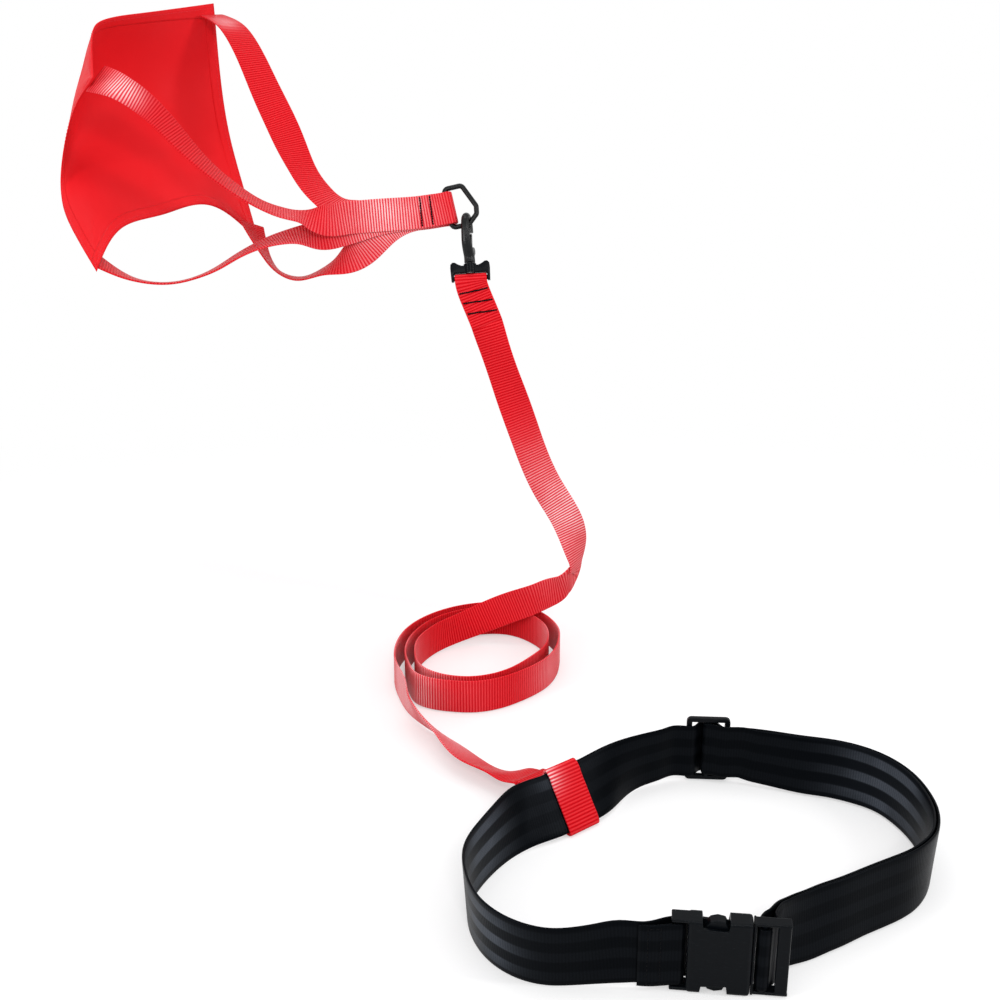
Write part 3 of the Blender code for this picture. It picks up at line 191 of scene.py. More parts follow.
# Places where a sheen highlight is painted pale onto the webbing: x, y, z, reach, strength
PAINTED_SHEEN_SPOTS = (
    (95, 157, 110, 60, 0.8), (-45, 178, 338, 45, 0.75), (-30, 22, 13, 36, 0.9), (95, 45, 13, 30, 0.7),
    (-40, 78, 20, 28, 0.6), (92, 108, 15, 30, 0.7), (0, -42, 10, 45, 0.8), (-26, 5, 12, 24, 1),
    (-235, 152, 434, 17, 1), (-184, 297, 484, 12, 0.8), (-122, 169, 323, 34, 0.4),
    (74, -152, 36, 12, 0.8), (-30, 60, 240, 30, 0.3), (276, -148, 22, 40, 1), (33, -208, 22, 28, 1),
    (34, -286, 20, 25, 1),
)

# Edges of the cloth, corner to corner
CLOTH_TOP = (
    (-254, 145, 441), (-260.5, 169, 459), (-264.5, 189, 473), (-264, 206, 481.5), (-256, 221, 486),
    (-243, 243, 489.5), (-222, 281, 495), (-198, 320, 501),
)
CLOTH_BOTTOM = ((-250, 99, 307), (-241, 144, 334), (-219, 187, 340), (-190, 230, 342), (-156, 241, 312))
CLOTH_NEAR = ((-250, 99, 307), (-278, 143, 332), (-297, 185, 366), (-285, 182, 409), (-254, 145, 441))
CLOTH_FAR = ((-156, 241, 312), (-172, 275, 352), (-186, 298, 395), (-195, 316, 448), (-198, 320, 501))


# Camera, at the photograph's angle

CAMERA_PLACE = (0.042, -0.901, 0.440)
CAMERA_DIP = 17
CAMERA_LENS = 49.5
camera = bpy.data.objects.new("camera", bpy.data.cameras.new("camera"))
scene.collection.objects.link(camera)
camera.location = CAMERA_PLACE
camera.rotation_euler = (math.radians(90 - CAMERA_DIP), 0.0, 0.0)
camera.data.lens = CAMERA_LENS
camera.data.sensor_width = 36.0
scene.camera = camera
scene.view_settings.view_transform = "Standard"


# Routes

def unit(vector):
    vector = np.asarray(vector, float)
    return vector / np.linalg.norm(vector)


def distances(points):
    """How far along a line each of its points is."""
    steps = np.linalg.norm(np.diff(points, axis=0), axis=1)
    return np.concatenate([[0.0], np.cumsum(steps)])


def read_off(places, reach, rows):
    """The rows' values at one distance, or at several, along their line."""
    return np.stack([np.interp(places, reach, column) for column in rows.T], axis=-1)


def nearest(points, place):
    """The number of the point nearest to a place."""
    return int(np.argmin(np.linalg.norm(points - np.asarray(place, float), axis=1)))


def smooth_curve(rows, step=CURVE_STEP):
    """Natural cubic spline through the rows (any number of columns), read off every step."""
    rows = np.asarray(rows, float)
    count = len(rows)
    chords = np.linalg.norm(np.diff(rows[:, :3], axis=0), axis=1)
    knots = np.concatenate([[0.0], np.cumsum(chords)])
    matrix = np.zeros((count, count))
    right = np.zeros_like(rows)
    matrix[0, 0] = 1.0
    matrix[-1, -1] = 1.0
    for k in range(1, count - 1):
        before = chords[k - 1]
        after = chords[k]
        matrix[k, k - 1 : k + 2] = (before, 2 * (before + after), after)
        right[k] = 6 * ((rows[k + 1] - rows[k]) / after - (rows[k] - rows[k - 1]) / before)
    bend = np.linalg.solve(matrix, right)
    places = np.linspace(0.0, knots[-1], max(2, int(knots[-1] / step) + 1))
    found = []
    for place in places:
        k = min(int(np.searchsorted(knots, place, side="right")) - 1, count - 2)
        span = chords[k]
        low = (knots[k + 1] - place) / span
        high = (place - knots[k]) / span
        value = low * rows[k] + high * rows[k + 1]
        value = value + ((low**3 - low) * bend[k] + (high**3 - high) * bend[k + 1]) * span**2 / 6
        found.append(value)
    return np.array(found)


def circle_rows(centre, radius, start, end, count):
    angles = np.radians(np.linspace(start, end, count))
    return [(centre[0] + radius * math.cos(a), centre[1] + radius * math.sin(a)) for a in angles]


def frame_at(origin, x_axis, z_axis):
    """A frame from its origin, its X direction and the rough direction of its Z."""
    x = unit(x_axis)
    z = np.asarray(z_axis, float)
    z = unit(z - x * float(np.dot(z, x)))
    y = np.cross(z, x)
    columns = (x, y, z)
    return Matrix(
        [[*(float(column[row]) for column in columns), float(origin[row])] for row in range(3)]
        + [[0.0, 0.0, 0.0, 1.0]]
    )


def turned_frame(centre, angle, lean):
    turn = Matrix.Rotation(math.radians(angle), 4, "Z") @ Matrix.Rotation(math.radians(lean), 4, "X")
    return Matrix.Translation(Vector(centre)) @ turn


def belt_rows(place, pairs, middle):
    """Rows of a belt route in the frame of the buckle or the slider."""
    rows = []
    for u, v, *own in pairs:
        height = own[0] if own else middle
        rows.append((*(place @ Vector((u, v, height))), *place.col[2][:3]))
    return rows


def waist_rows(route):
    """Rows of the belt round the waist."""
    flat = np.array([(x, y, 0.0) for x, y, _, _ in route])
    rows = []
    for (x, y, lean, lift), way in zip(route, np.gradient(flat, axis=0)):
        way = unit(way)
        outward = np.array((-way[1], way[0], 0.0))
        lean = math.radians(lean)
        across = outward * math.sin(lean) + np.array((0.0, 0.0, math.cos(lean)))
        rows.append((x, y, lift + math.cos(lean) * BELT_WIDTH / 2, *across))
    return rows


def moved_rows(rows, offset, first, last):
    """The same route from row first to row last, moved sideways out of the face of the strap."""
    dense = smooth_curve(rows)
    along = np.gradient(dense[:, :3], axis=0)
    start, end = (nearest(dense[:, :3], row[:3]) for row in (rows[first], rows[last]))
    count = max(2, int((end - start) / 8))
    moved = []
    for k in np.linspace(start, end, count).astype(int):
        face = unit(np.cross(dense[k, 3:6], along[k]))
        moved.append((*(dense[k, :3] + face * offset), *dense[k, 3:6]))
    return moved


# Meshes

def new_piece(name, points, faces, material, uvs=None, smooth=True):
    """An object from points in millimetres, with UVs in metres for each corner of its faces."""
    mesh = bpy.data.meshes.new(name)
    mesh.from_pydata((np.asarray(points, float) * MM).tolist(), [], [tuple(map(int, f)) for f in faces])
    if uvs is not None:
        layer = mesh.uv_layers.new(name="UVMap")
        layer.data.foreach_set("uv", np.asarray(uvs, np.float32).ravel())
    mesh.polygons.foreach_set("use_smooth", [smooth] * len(mesh.polygons))
    mesh.materials.append(material)
    mesh.update()
    piece = bpy.data.objects.new(name, mesh)
    scene.collection.objects.link(piece)
    return piece


def tube_faces(rings, sides, base=0):
    """Faces round a tube made of rings of points, and then its two end faces."""
    faces = []
    for ring in range(rings - 1):
        one = base + ring * sides
        for j in range(sides):
            after = (j + 1) % sides
            faces.append((one + j, one + after, one + sides + after, one + sides + j))
    top = base + (rings - 1) * sides
    return faces + [tuple(range(base, base + sides))[::-1], tuple(range(top, top + sides))]


# One face of a strap's section, from edge to edge: shares of the half width and of the half thickness
SECTION_ACROSS = np.array((-1.0, -0.985, -0.955, -0.88, -0.6, -0.2, 0.2, 0.6, 0.88, 0.955, 0.985, 1.0))
SECTION_BULGE = np.array((0.0, 0.62, 0.88, 1.0, 0.97, 0.95, 0.95, 0.97, 1.0, 0.88, 0.62, 0.0))
PRESSED_END = 0.72


class Strap:
    """Webbing of one width and thickness on a route."""

    def __init__(self, rows, width, thick):
        dense = smooth_curve(rows)
        self.width = width
        self.thick = thick
        self.points = dense[:, :3]
        along = np.gradient(self.points, axis=0)
        self.along = along / np.linalg.norm(along, axis=1)[:, None]
        across = dense[:, 3:6]
        across = across - self.along * np.sum(across * self.along, axis=1)[:, None]
        self.across = across / np.linalg.norm(across, axis=1)[:, None]
        self.normals = np.cross(self.along, self.across)
        self.reach = distances(self.points)
        self.length = float(self.reach[-1])

    def index(self, s):
        """The number of the point at distance s."""
        return int(np.clip(np.searchsorted(self.reach, s), 0, len(self.reach) - 1))

    def at(self, s, v, height=0.0, side=1):
        """A point at distance s along and v across, above one face."""
        k = self.index(s)
        return self.points[k] + self.across[k] * v + self.normals[k] * side * (self.thick / 2 + height)

    def normal(self, s, side=1):
        return self.normals[self.index(s)] * side

    def stations(self, first, last, longest, turn):
        """Numbers of the points that carry the mesh: closer where the strap bends or twists."""
        low = self.index(first)
        high = self.index(last)
        kept = [low]
        for k in range(low + 1, high):
            before = kept[-1]
            turned = [float(np.dot(way[k], way[before])) for way in (self.along, self.across)]
            bent = math.degrees(math.acos(min(1.0, *turned)))
            if self.reach[k] - self.reach[before] >= longest or bent >= turn:
                kept.append(k)
        if self.reach[high] - self.reach[kept[-1]] < 0.5 and len(kept) > 1:
            kept.pop()
        return kept + [high]

    def piece(
        self, name, material, first=0.0, last=None, longest=2.4, turn=3.0, ends=(True, True), shift=0.0
    ):
        """The strap's mesh between two distances, with pressed ends where ends says so."""
        kept = self.stations(first, self.length if last is None else last, longest, turn)
        v = np.concatenate([SECTION_ACROSS, SECTION_ACROSS[-2:0:-1]]) * self.width / 2
        h = np.concatenate([SECTION_BULGE, -SECTION_BULGE[-2:0:-1]]) * self.thick / 2
        sides = len(v)
        rings = []
        for k in kept:
            pressed = (k == kept[0] and ends[0]) or (k == kept[-1] and ends[1])
            lift = h * PRESSED_END if pressed else h
            rings.append(self.points[k] + np.outer(v, self.across[k]) + np.outer(lift, self.normals[k]))
        points = np.concatenate(rings)
        faces = tube_faces(len(kept), sides)
        u = self.reach[kept] + shift
        uvs = [(u[k // sides] * MM, v[k % sides] * MM) for face in faces for k in face]
        piece = new_piece(name, points, faces, material, uvs)
        # Painted sheen: how strongly a pale highlight is painted at each point, falling off from the listed
        # spots
        wear_and_sheen = np.zeros(len(points))
        for x, y, z, reach, strength in PAINTED_SHEEN_SPOTS:
            away = np.linalg.norm(points - (x, y, z), axis=1)
            wear_and_sheen = np.maximum(wear_and_sheen, strength * np.exp(-((away / reach) ** 2)))
        piece.data.attributes.new("wear_and_sheen", "FLOAT", "POINT").data.foreach_set("value", wear_and_sheen)
        # Where the webbing goes on in the next piece, the end face doesn't turn the shading of its rim
        for edge in piece.data.edges:
            first_rim = max(edge.vertices) < sides and not ends[0]
            last_rim = min(edge.vertices) >= len(points) - sides and not ends[1]
            edge.use_edge_sharp = first_rim or last_rim
        return piece


def joined(pieces):
    """The first piece, with the meshes of the others added to it."""
    with bpy.context.temp_override(
        active_object=pieces[0], object=pieces[0], selected_objects=pieces, selected_editable_objects=pieces
    ):
        bpy.ops.object.join()
    return pieces[0]


def nearest_reach(strap, place):
    """How far along a strap the point nearest to a place is."""
    return float(strap.reach[nearest(strap.points, place)])


# Rings of a stitch: share of its length, share of its radius, rise in radii
STITCH_RINGS = (
    (-0.5, 0.25, -0.9), (-0.42, 0.8, -0.1), (-0.2, 1.0, 0.5), (0.2, 1.0, 0.5), (0.42, 0.8, -0.1),
    (0.5, 0.25, -0.9),
)
STITCH_SIDES = 6
STITCH_WIDTH = 1.15
THREAD_ROUND = 0.002


def stitches(name, lines, material, pitch=2.6, length=2.0, radius=0.22):
    """Rows of single stitches, each a small bowed capsule. lines holds (points, normals) pairs."""
    points = []
    faces = []
    uvs = []
    sides = STITCH_SIDES
    for line, ups in lines:
        line = np.asarray(line, float)
        ups = np.asarray(ups, float)
        reach = distances(line)
        count = max(1, int(reach[-1] / pitch))
        for n in range(count):
            middle = (n + 0.5) * reach[-1] / count
            faces += tube_faces(len(STITCH_RINGS), sides, len(points))
            for share, wide, rise in STITCH_RINGS:
                s = middle + share * length
                up = unit(read_off(s, reach, ups))
                side = unit(np.cross(up, read_off(s + 0.3, reach, line) - read_off(s - 0.3, reach, line)))
                for j in range(sides):
                    a = 2 * math.pi * j / sides
                    spot = read_off(s, reach, line) + up * (rise * radius + radius * wide * math.sin(a))
                    points.append(spot + side * radius * wide * STITCH_WIDTH * math.cos(a))
            for r in range(len(STITCH_RINGS) - 1):
                for j in range(sides):
                    for ring, corner in ((r, j), (r, j + 1), (r + 1, j + 1), (r + 1, j)):
                        along = middle + STITCH_RINGS[ring][0] * length
                        uvs.append((along * MM, corner / sides * THREAD_ROUND))
            uvs += [(middle * MM, 0.0)] * sides * 2
    return new_piece(name, points, faces, material, uvs)


def cross_row(strap, s, slant=0.0, side=1, margin=1.2, height=0.0):
    """A line of stitches across a strap; its two ends are slant apart along the strap."""
    half = strap.width / 2 - margin
    places = [(s + slant * v / (2 * half), v) for v in np.linspace(-half, half, 14)]
    return (
        [strap.at(a, v, height, side) for a, v in places],
        [strap.normal(a, side) for a, v in places],
    )


def long_row(strap, first, last, v, side=1, height=0.0):
    places = np.linspace(first, last, max(3, int(abs(last - first) / 2)))
    return [strap.at(s, v, height, side) for s in places], [strap.normal(s, side) for s in places]


# Materials

def fill(tree, node, sockets):
    """Joins sockets of a node to others, or gives them a value."""
    for key, value in sockets.items():
        if isinstance(value, bpy.types.NodeSocket):
            tree.links.new(value, node.inputs[key])
        else:
            node.inputs[key].default_value = value
    return node


def put(tree, kind, sockets=None, **settings):
    """Adds a node, sets it up, and fills its sockets."""
    node = tree.nodes.new("ShaderNode" + kind)
    for key, value in settings.items():
        setattr(node, key, value)
    return fill(tree, node, sockets or {})


def calc(tree, operation, *values, clamp=False):
    return put(tree, "Math", dict(enumerate(values)), operation=operation, use_clamp=clamp).outputs[0]


def blended(tree, share, one, two):
    """Colour one, or two where share is 1."""
    return put(tree, "Mix", {0: share, 6: one, 7: two}, data_type="RGBA").outputs[2]


def mapped(tree, value, low, high, to_low=0.0, to_high=1.0, curve="LINEAR"):
    """The value with its range from low to high turned into another, and held inside it."""
    sockets = {"Value": value, 1: low, 2: high, 3: to_low, 4: to_high}
    return put(tree, "MapRange", sockets, interpolation_type=curve).outputs[0]


def noise(tree, place, scale, detail, distortion=0.0):
    sockets = {"Vector": place, "Scale": scale, "Detail": detail, "Distortion": distortion}
    return put(tree, "TexNoise", sockets).outputs["Fac"]


def new_group(name, inputs, outputs):
    """A node group. Its inputs are (name, kind, default), and its outputs the names of values."""
    group = bpy.data.node_groups.new(name, "ShaderNodeTree")
    for label, kind, default in inputs:
        socket = group.interface.new_socket(label, in_out="INPUT", socket_type="NodeSocket" + kind)
        if default is not None:
            socket.default_value = default
    for label in outputs:
        group.interface.new_socket(label, in_out="OUTPUT", socket_type="NodeSocketFloat")
    start = group.nodes.new("NodeGroupInput")
    end = group.nodes.new("NodeGroupOutput")
    return group, start.outputs, end


BAND_PITCH = 0.0127


def ribbed_weave():
    """Grosgrain webbing: cross ribs, the warp yarns over them, bands and the smooth woven edges."""
    inputs = (
        ("Vector", "Vector", None),
        ("Rib Pitch", "Float", 0.0017),
        ("Yarn Pitch", "Float", 0.0009),
        ("Half Width", "Float", 0.0125),
    )
    group, given, made = new_group("Ribbed weave", inputs, ("Height", "Rib", "Yarn", "Band", "Mottle"))
    place = given["Vector"]
    parts = put(group, "SeparateXYZ", {0: place}).outputs
    wobble = calc(group, "SUBTRACT", noise(group, place, 60.0, 2.0), 0.5)
    along = calc(group, "MULTIPLY_ADD", wobble, 0.0006, parts["X"])
    u = calc(group, "DIVIDE", along, given["Rib Pitch"])
    rib = calc(group, "ABSOLUTE", calc(group, "SINE", calc(group, "MULTIPLY", u, math.pi)))
    rib = calc(group, "POWER", rib, 0.75)
    odd = calc(group, "MODULO", calc(group, "FLOOR", u), 2.0)
    v = calc(group, "DIVIDE", parts["Y"], given["Yarn Pitch"])
    v = calc(group, "MULTIPLY_ADD", odd, 0.5, v)
    yarn = calc(group, "COSINE", calc(group, "MULTIPLY", v, 2 * math.pi))
    yarn = calc(group, "MULTIPLY_ADD", yarn, 0.5, 0.5)
    inside = calc(group, "SUBTRACT", given["Half Width"], calc(group, "ABSOLUTE", parts["Y"]))
    calm = mapped(group, inside, 0.0006, 0.0014, 0.35, 1.0)
    height = calc(group, "MULTIPLY", rib, calc(group, "MULTIPLY_ADD", yarn, 0.3, 0.7))
    height = calc(group, "MULTIPLY", height, calm)
    height = calc(group, "MULTIPLY_ADD", noise(group, place, 2600.0, 1.0), 0.12, height)
    mottle = mapped(group, noise(group, place, 34.0, 3.0), 0.3, 0.7)
    band = calc(group, "COSINE", calc(group, "MULTIPLY", parts["Y"], 2 * math.pi / BAND_PITCH))
    band = mapped(group, band, -0.55, 0.35, curve="SMOOTHSTEP")
    fill(group, made, {"Height": height, "Rib": rib, "Yarn": yarn, "Band": band, "Mottle": mottle})
    return group


def plain_weave():
    """Thin nylon: fine crossing threads, soft creases and uneven dye."""
    inputs = (("Vector", "Vector", None), ("Thread Pitch", "Float", 0.0005))
    group, given, made = new_group("Plain weave", inputs, ("Height", "Thread", "Crease", "Mottle"))
    place = given["Vector"]
    parts = put(group, "SeparateXYZ", {0: place}).outputs
    waves = []
    for axis in ("X", "Y"):
        turns = calc(group, "DIVIDE", parts[axis], given["Thread Pitch"])
        waves.append(calc(group, "SINE", calc(group, "MULTIPLY", turns, 2 * math.pi)))
    thread = calc(group, "MULTIPLY_ADD", calc(group, "MULTIPLY", *waves), 0.5, 0.5)
    turned = {"Vector": place, "Scale": (1.0, 0.45, 1.0), "Rotation": (0, 0, 0.6)}
    crease = noise(group, put(group, "Mapping", turned).outputs[0], 26.0, 4.0, 0.8)
    mottle = mapped(group, noise(group, place, 9.0, 3.0), 0.3, 0.7)
    height = calc(group, "MULTIPLY_ADD", thread, 0.05, crease)
    fill(group, made, {"Height": height, "Thread": thread, "Crease": crease, "Mottle": mottle})
    return group


def moulded_grain():
    """Moulded or coated surface: fine grain, faint flow marks, scuffs and rubbed edges."""
    inputs = (
        ("Vector", "Vector", None),
        ("Normal", "Vector", None),
        ("Rounded Normal", "Vector", None),
        ("Grain Scale", "Float", 1800.0),
    )
    group, given, made = new_group("Moulded grain", inputs, ("Height", "Flow", "Scuff", "Edge"))
    place = given["Vector"]
    grain = noise(group, place, given["Grain Scale"], 2.0)
    flow = noise(group, place, 70.0, 3.0, 0.6)
    turned = {"Vector": place, "Scale": (1.0, 1.0, 9.0), "Rotation": (0.5, 0.9, 0.3)}
    scuff = noise(group, put(group, "Mapping", turned).outputs[0], 260.0, 2.0)
    scuff = mapped(group, scuff, 0.62, 0.74)
    normals = {0: given["Normal"], 1: given["Rounded Normal"]}
    level = put(group, "VectorMath", normals, operation="DOT_PRODUCT").outputs["Value"]
    edge = mapped(group, level, 0.995, 0.86)
    edge = calc(group, "MULTIPLY", edge, mapped(group, noise(group, place, 420.0, 2.0), 0.35, 0.65))
    fill(group, made, {"Height": grain, "Flow": flow, "Scuff": scuff, "Edge": edge})
    return group


RIBBED = ribbed_weave()
PLAIN = plain_weave()
GRAIN = moulded_grain()


def new_material(name, **constants):
    material = bpy.data.materials.new(name)
    material.use_nodes = True
    tree = material.node_tree
    shader = tree.nodes["Principled BSDF"]
    for key, value in constants.items():
        shader.inputs[key.replace("_", " ")].default_value = value
    return material, tree, shader


def dress(tree, shader, colour, roughness, **bump):
    """Feeds a shader its colour, its roughness and the normal of a bump."""
    raised = put(tree, "Bump", bump).outputs[0]
    fill(tree, shader, {"Base Color": colour, "Roughness": roughness, "Normal": raised})


def webbing_material(name, colours, width, pitch, bump, rough, mark, sharp, **constants):
    """Webbing in four colours, dark to pale: painted shade in the rib grooves, the dye, a painted sheen wash
    and a painted highlight on the ribs or bands (mark), strongest where sheen is painted.
    """
    material, tree, shader = new_material(name, **constants)
    dark, mid, soft, light = colours
    place = put(tree, "UVMap", uv_map="UVMap").outputs[0]
    sockets = {"Vector": place, "Rib Pitch": pitch * MM, "Half Width": width / 2 * MM}
    weave = put(tree, "Group", sockets, node_tree=RIBBED).outputs
    # Painted sheen: the points' strength, broken up by the mottle
    wear_and_sheen = put(tree, "Attribute", attribute_name="wear_and_sheen").outputs["Fac"]
    wear_and_sheen = calc(tree, "MULTIPLY", wear_and_sheen, calc(tree, "MULTIPLY_ADD", weave["Mottle"], 0.4, 0.75), clamp=True)
    # Painted shade: the grooves between the ribs take the dark colour, the rib tops the dye
    colour = blended(tree, weave["Rib"], dark, mid)
    # Painted sheen wash toward the pale third colour
    colour = blended(tree, calc(tree, "MULTIPLY", wear_and_sheen, 0.8), colour, soft)
    # Painted highlight on the crests of the ribs or bands: faint everywhere, strong where sheen is painted
    crest = calc(tree, "POWER", weave[mark], sharp)
    for thread in ("Yarn", "Rib"):
        crest = calc(tree, "MULTIPLY", crest, calc(tree, "MULTIPLY_ADD", weave[thread], 0.4, 0.6))
    shown = calc(tree, "MULTIPLY_ADD", calc(tree, "MULTIPLY", wear_and_sheen, wear_and_sheen), 1.5, 0.04, clamp=True)
    colour = blended(tree, calc(tree, "MULTIPLY", crest, shown), colour, light)
    roughness = mapped(tree, weave["Mottle"], 0.0, 1.0, *rough)
    dress(tree, shader, colour, roughness, Height=weave["Height"], Strength=1.0, Distance=bump * MM)
    return material


def cloth_material(name, dark, light, **constants):
    material, tree, shader = new_material(name, **constants)
    place = put(tree, "UVMap", uv_map="UVMap").outputs[0]
    weave = put(tree, "Group", {"Vector": place}, node_tree=PLAIN).outputs
    share = calc(tree, "MULTIPLY_ADD", weave["Thread"], 0.25, calc(tree, "MULTIPLY", weave["Mottle"], 0.75))
    roughness = mapped(tree, weave["Crease"], 0.3, 0.7, 0.5, 0.66)
    colour = blended(tree, share, dark, light)
    dress(tree, shader, colour, roughness, Height=weave["Height"], Strength=0.5, Distance=0.9 * MM)
    return material


def moulded_material(name, colour, pale, rough, grain, bevel, **constants):
    """Plastic or coated metal, pale at rubbed edges and scuffs."""
    material, tree, shader = new_material(name, Metallic=0.0, **constants)
    place = put(tree, "TexCoord").outputs["Object"]
    rounded = put(tree, "Bevel", {"Radius": bevel * MM}, samples=6).outputs[0]
    true = put(tree, "NewGeometry").outputs["Normal"]
    sockets = {"Vector": place, "Normal": true, "Rounded Normal": rounded, "Grain Scale": grain}
    marks = put(tree, "Group", sockets, node_tree=GRAIN).outputs
    wear_and_sheen = calc(tree, "MULTIPLY", marks["Edge"], 0.8)
    wear_and_sheen = calc(tree, "MULTIPLY_ADD", marks["Scuff"], 0.25, wear_and_sheen, clamp=True)
    roughness = mapped(tree, marks["Flow"], 0.3, 0.7, *rough)
    roughness = calc(tree, "MULTIPLY_ADD", marks["Scuff"], 0.12, roughness)
    bump = {"Height": marks["Height"], "Strength": 0.5, "Distance": 0.05 * MM, "Normal": rounded}
    dress(tree, shader, blended(tree, wear_and_sheen, colour, pale), roughness, **bump)
    return material


def thread_material(name, dark, light, gloss):
    """Twisted sewing thread."""
    material, tree, shader = new_material(name, Specular_IOR_Level=gloss)
    place = put(tree, "UVMap", uv_map="UVMap").outputs[0]
    sockets = {"Vector": place, "Scale": 520.0, "Distortion": 0.4}
    twist = put(tree, "TexWave", sockets, bands_direction="DIAGONAL").outputs["Fac"]
    colour = blended(tree, twist, dark, light)
    roughness = mapped(tree, twist, 0.0, 1.0, 0.7, 0.5)
    dress(tree, shader, colour, roughness, Height=twist, Strength=0.8, Distance=0.1 * MM)
    return material


PINK = (1.0, 0.62, 0.66, 1.0)
BLUE = (0.62, 0.72, 1.0, 1.0)
# Webbing colours: painted groove shade, the dye, a painted sheen wash and a painted highlight
RED_WEB = webbing_material(
    "red webbing",
    ((0.50, 0.001, 0.004, 1), (0.76, 0.004, 0.012, 1), (0.86, 0.05, 0.08, 1), (1.0, 0.84, 0.84, 1)),
    width=TETHER_WIDTH, pitch=2.1, bump=0.35, rough=(0.30, 0.42), mark="Rib", sharp=4.5,
    Sheen_Weight=0.02, Sheen_Roughness=0.3, Sheen_Tint=PINK, Specular_IOR_Level=0.05,
    Specular_Tint=(1.0, 0.45, 0.48, 1.0),
)
BLACK_WEB = webbing_material(
    "black webbing",
    (
        (0.0009, 0.0012, 0.0016, 1), (0.0016, 0.0021, 0.0029, 1), (0.006, 0.0075, 0.010, 1),
        (0.070, 0.080, 0.098, 1),
    ),
    width=BELT_WIDTH, pitch=1.7, bump=0.05, rough=(0.28, 0.40), mark="Band", sharp=3.0,
    Sheen_Weight=0.007, Sheen_Roughness=0.2, Sheen_Tint=BLUE, Specular_IOR_Level=0.03,
    Specular_Tint=(0.78, 0.86, 1.0, 1.0),
)
CLOTH = cloth_material(
    "red nylon cloth", (0.72, 0.008, 0.012, 1), (0.82, 0.012, 0.019, 1),
    Sheen_Weight=0.03, Sheen_Roughness=0.4, Sheen_Tint=PINK, Specular_IOR_Level=0.12,
)
PLASTIC = moulded_material(
    "black acetal", (0.0020, 0.0028, 0.0040, 1), (0.022, 0.026, 0.030, 1),
    rough=(0.26, 0.38), grain=1500.0, bevel=0.45, Specular_IOR_Level=0.075,
)
METAL = moulded_material(
    "black coated metal", (0.004, 0.0045, 0.005, 1), (0.05, 0.05, 0.055, 1),
    rough=(0.25, 0.36), grain=2400.0, bevel=0.3, Specular_IOR_Level=0.2,
)
RED_THREAD = thread_material("red thread", (0.70, 0.012, 0.020, 1), (0.86, 0.06, 0.08, 1), 0.15)
BLACK_THREAD = thread_material("black thread", (0.0015, 0.0015, 0.002, 1), (0.006, 0.006, 0.007, 1), 0.05)


# Tether

def loop_frame():
    """Where the red loop goes round the belt: its place, the belt's way and the way outwards."""
    along = unit(LOOP_ALONG)
    outward = np.array((-along[1], along[0], 0.0))
    return np.array((*LOOP_POINT, 0.0)), along, outward


def tether_rows():
    rows = [TETHER_EXIT, *HANG_ROUTE]
    for angle, radius, *own in LOOPS_ROUTE:
        height = own[0] if own else LYING
        turn = math.radians(angle)
        x = LOOPS_CENTRE[0] + radius * math.cos(turn)
        y = LOOPS_CENTRE[1] + radius * math.sin(turn)
        lean = 0.12 if angle < 90 else 0.0
        rows.append((x, y, height, -lean * math.cos(turn), -lean * math.sin(turn), -1.0))
    rows += FLOOR_ROUTE
    centre, along, outward = loop_frame()
    into_loop = ((51.0, 12.6), (41.5, 15.2), (35.5, 16.75))
    for out, height in into_loop:
        rows.append((*(centre + outward * out + np.array((0.0, 0.0, height))), *along))
    return rows


def belt_loop_rows():
    """Under the lower edge of the belt, up its inner face and over the top edge."""
    centre, along, outward = loop_frame()
    lean = math.radians(LOOP_LEAN)
    half = BELT_WIDTH / 2
    middle = 2.3 + half * math.cos(lean)
    side = np.array((math.sin(lean), math.cos(lean)))
    face = np.array((math.cos(lean), -math.sin(lean)))
    away = BELT_THICK / 2 + SKIN_GAP + TETHER_THICK / 2 + 0.1
    base = np.array((0.0, middle))
    bottom = base - side * half
    top = base + side * half
    route = [(38.6, 15.4), (28.0, 16.4), (17.0, 15.0), (7.0, 9.6), (-3.0, 3.4)]
    route.append(tuple(bottom - side * 0.9 + face * 1.1))
    route.append(tuple(bottom - side * 1.6 - face * 0.7))
    route.append(tuple(bottom + side * 1.4 - face * away))
    route += [tuple(base + side * share * half - face * away) for share in (-0.6, -0.2, 0.2, 0.6)]
    route.append(tuple(top - side * 1.2 - face * away))
    route.append(tuple(top + side * 1.7))
    route.append(tuple(top + side * 0.9 + face * 1.5))
    route += [(14.6, 27.0), (17.5, 21.0), (22.0, 18.7), (29.0, 18.5), (38.6, 17.4)]
    return [(*(centre + outward * o + np.array((0.0, 0.0, z))), *along) for o, z in route]


def hook_fold_rows():
    """The sewn fold through the eye of the hook."""
    down = [(8.0, 0.95, -30.0), (4.6, 0.98, -20.0), (1.2, 1.5, -9.5), (0.0, 2.7, -3.0)]
    radius = EYE_BAR_RADIUS + SKIN_GAP + TETHER_THICK / 2
    turn = [(0.0, y, z) for y, z in circle_rows((0.0, 0.0), radius, 0, 180, 7)]
    up = [(x, -y, z) for x, y, z in reversed(down)]
    fold = []
    for x, y, z in [(10.4, 0.93, -37.6)] + down + turn + up + [(9.0, -0.95, -33.0)]:
        point = eye_frame @ Vector((x, -y, z - EYE_BAR_DROP))
        width = eye_frame.to_3x3() @ Vector((1.0, 0.0, 0.26 * min(1.0, max(0.0, -z / 20.0))))
        fold.append((*point, *width))
    return fold


eye_frame = frame_at(EYE_CENTRE, EYE_ACROSS, SHANK)
tether = Strap(tether_rows(), TETHER_WIDTH, TETHER_THICK)
tether_piece = tether.piece("tether_webbing", RED_WEB)
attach(tether_piece, "tether")
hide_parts("tether_strap")

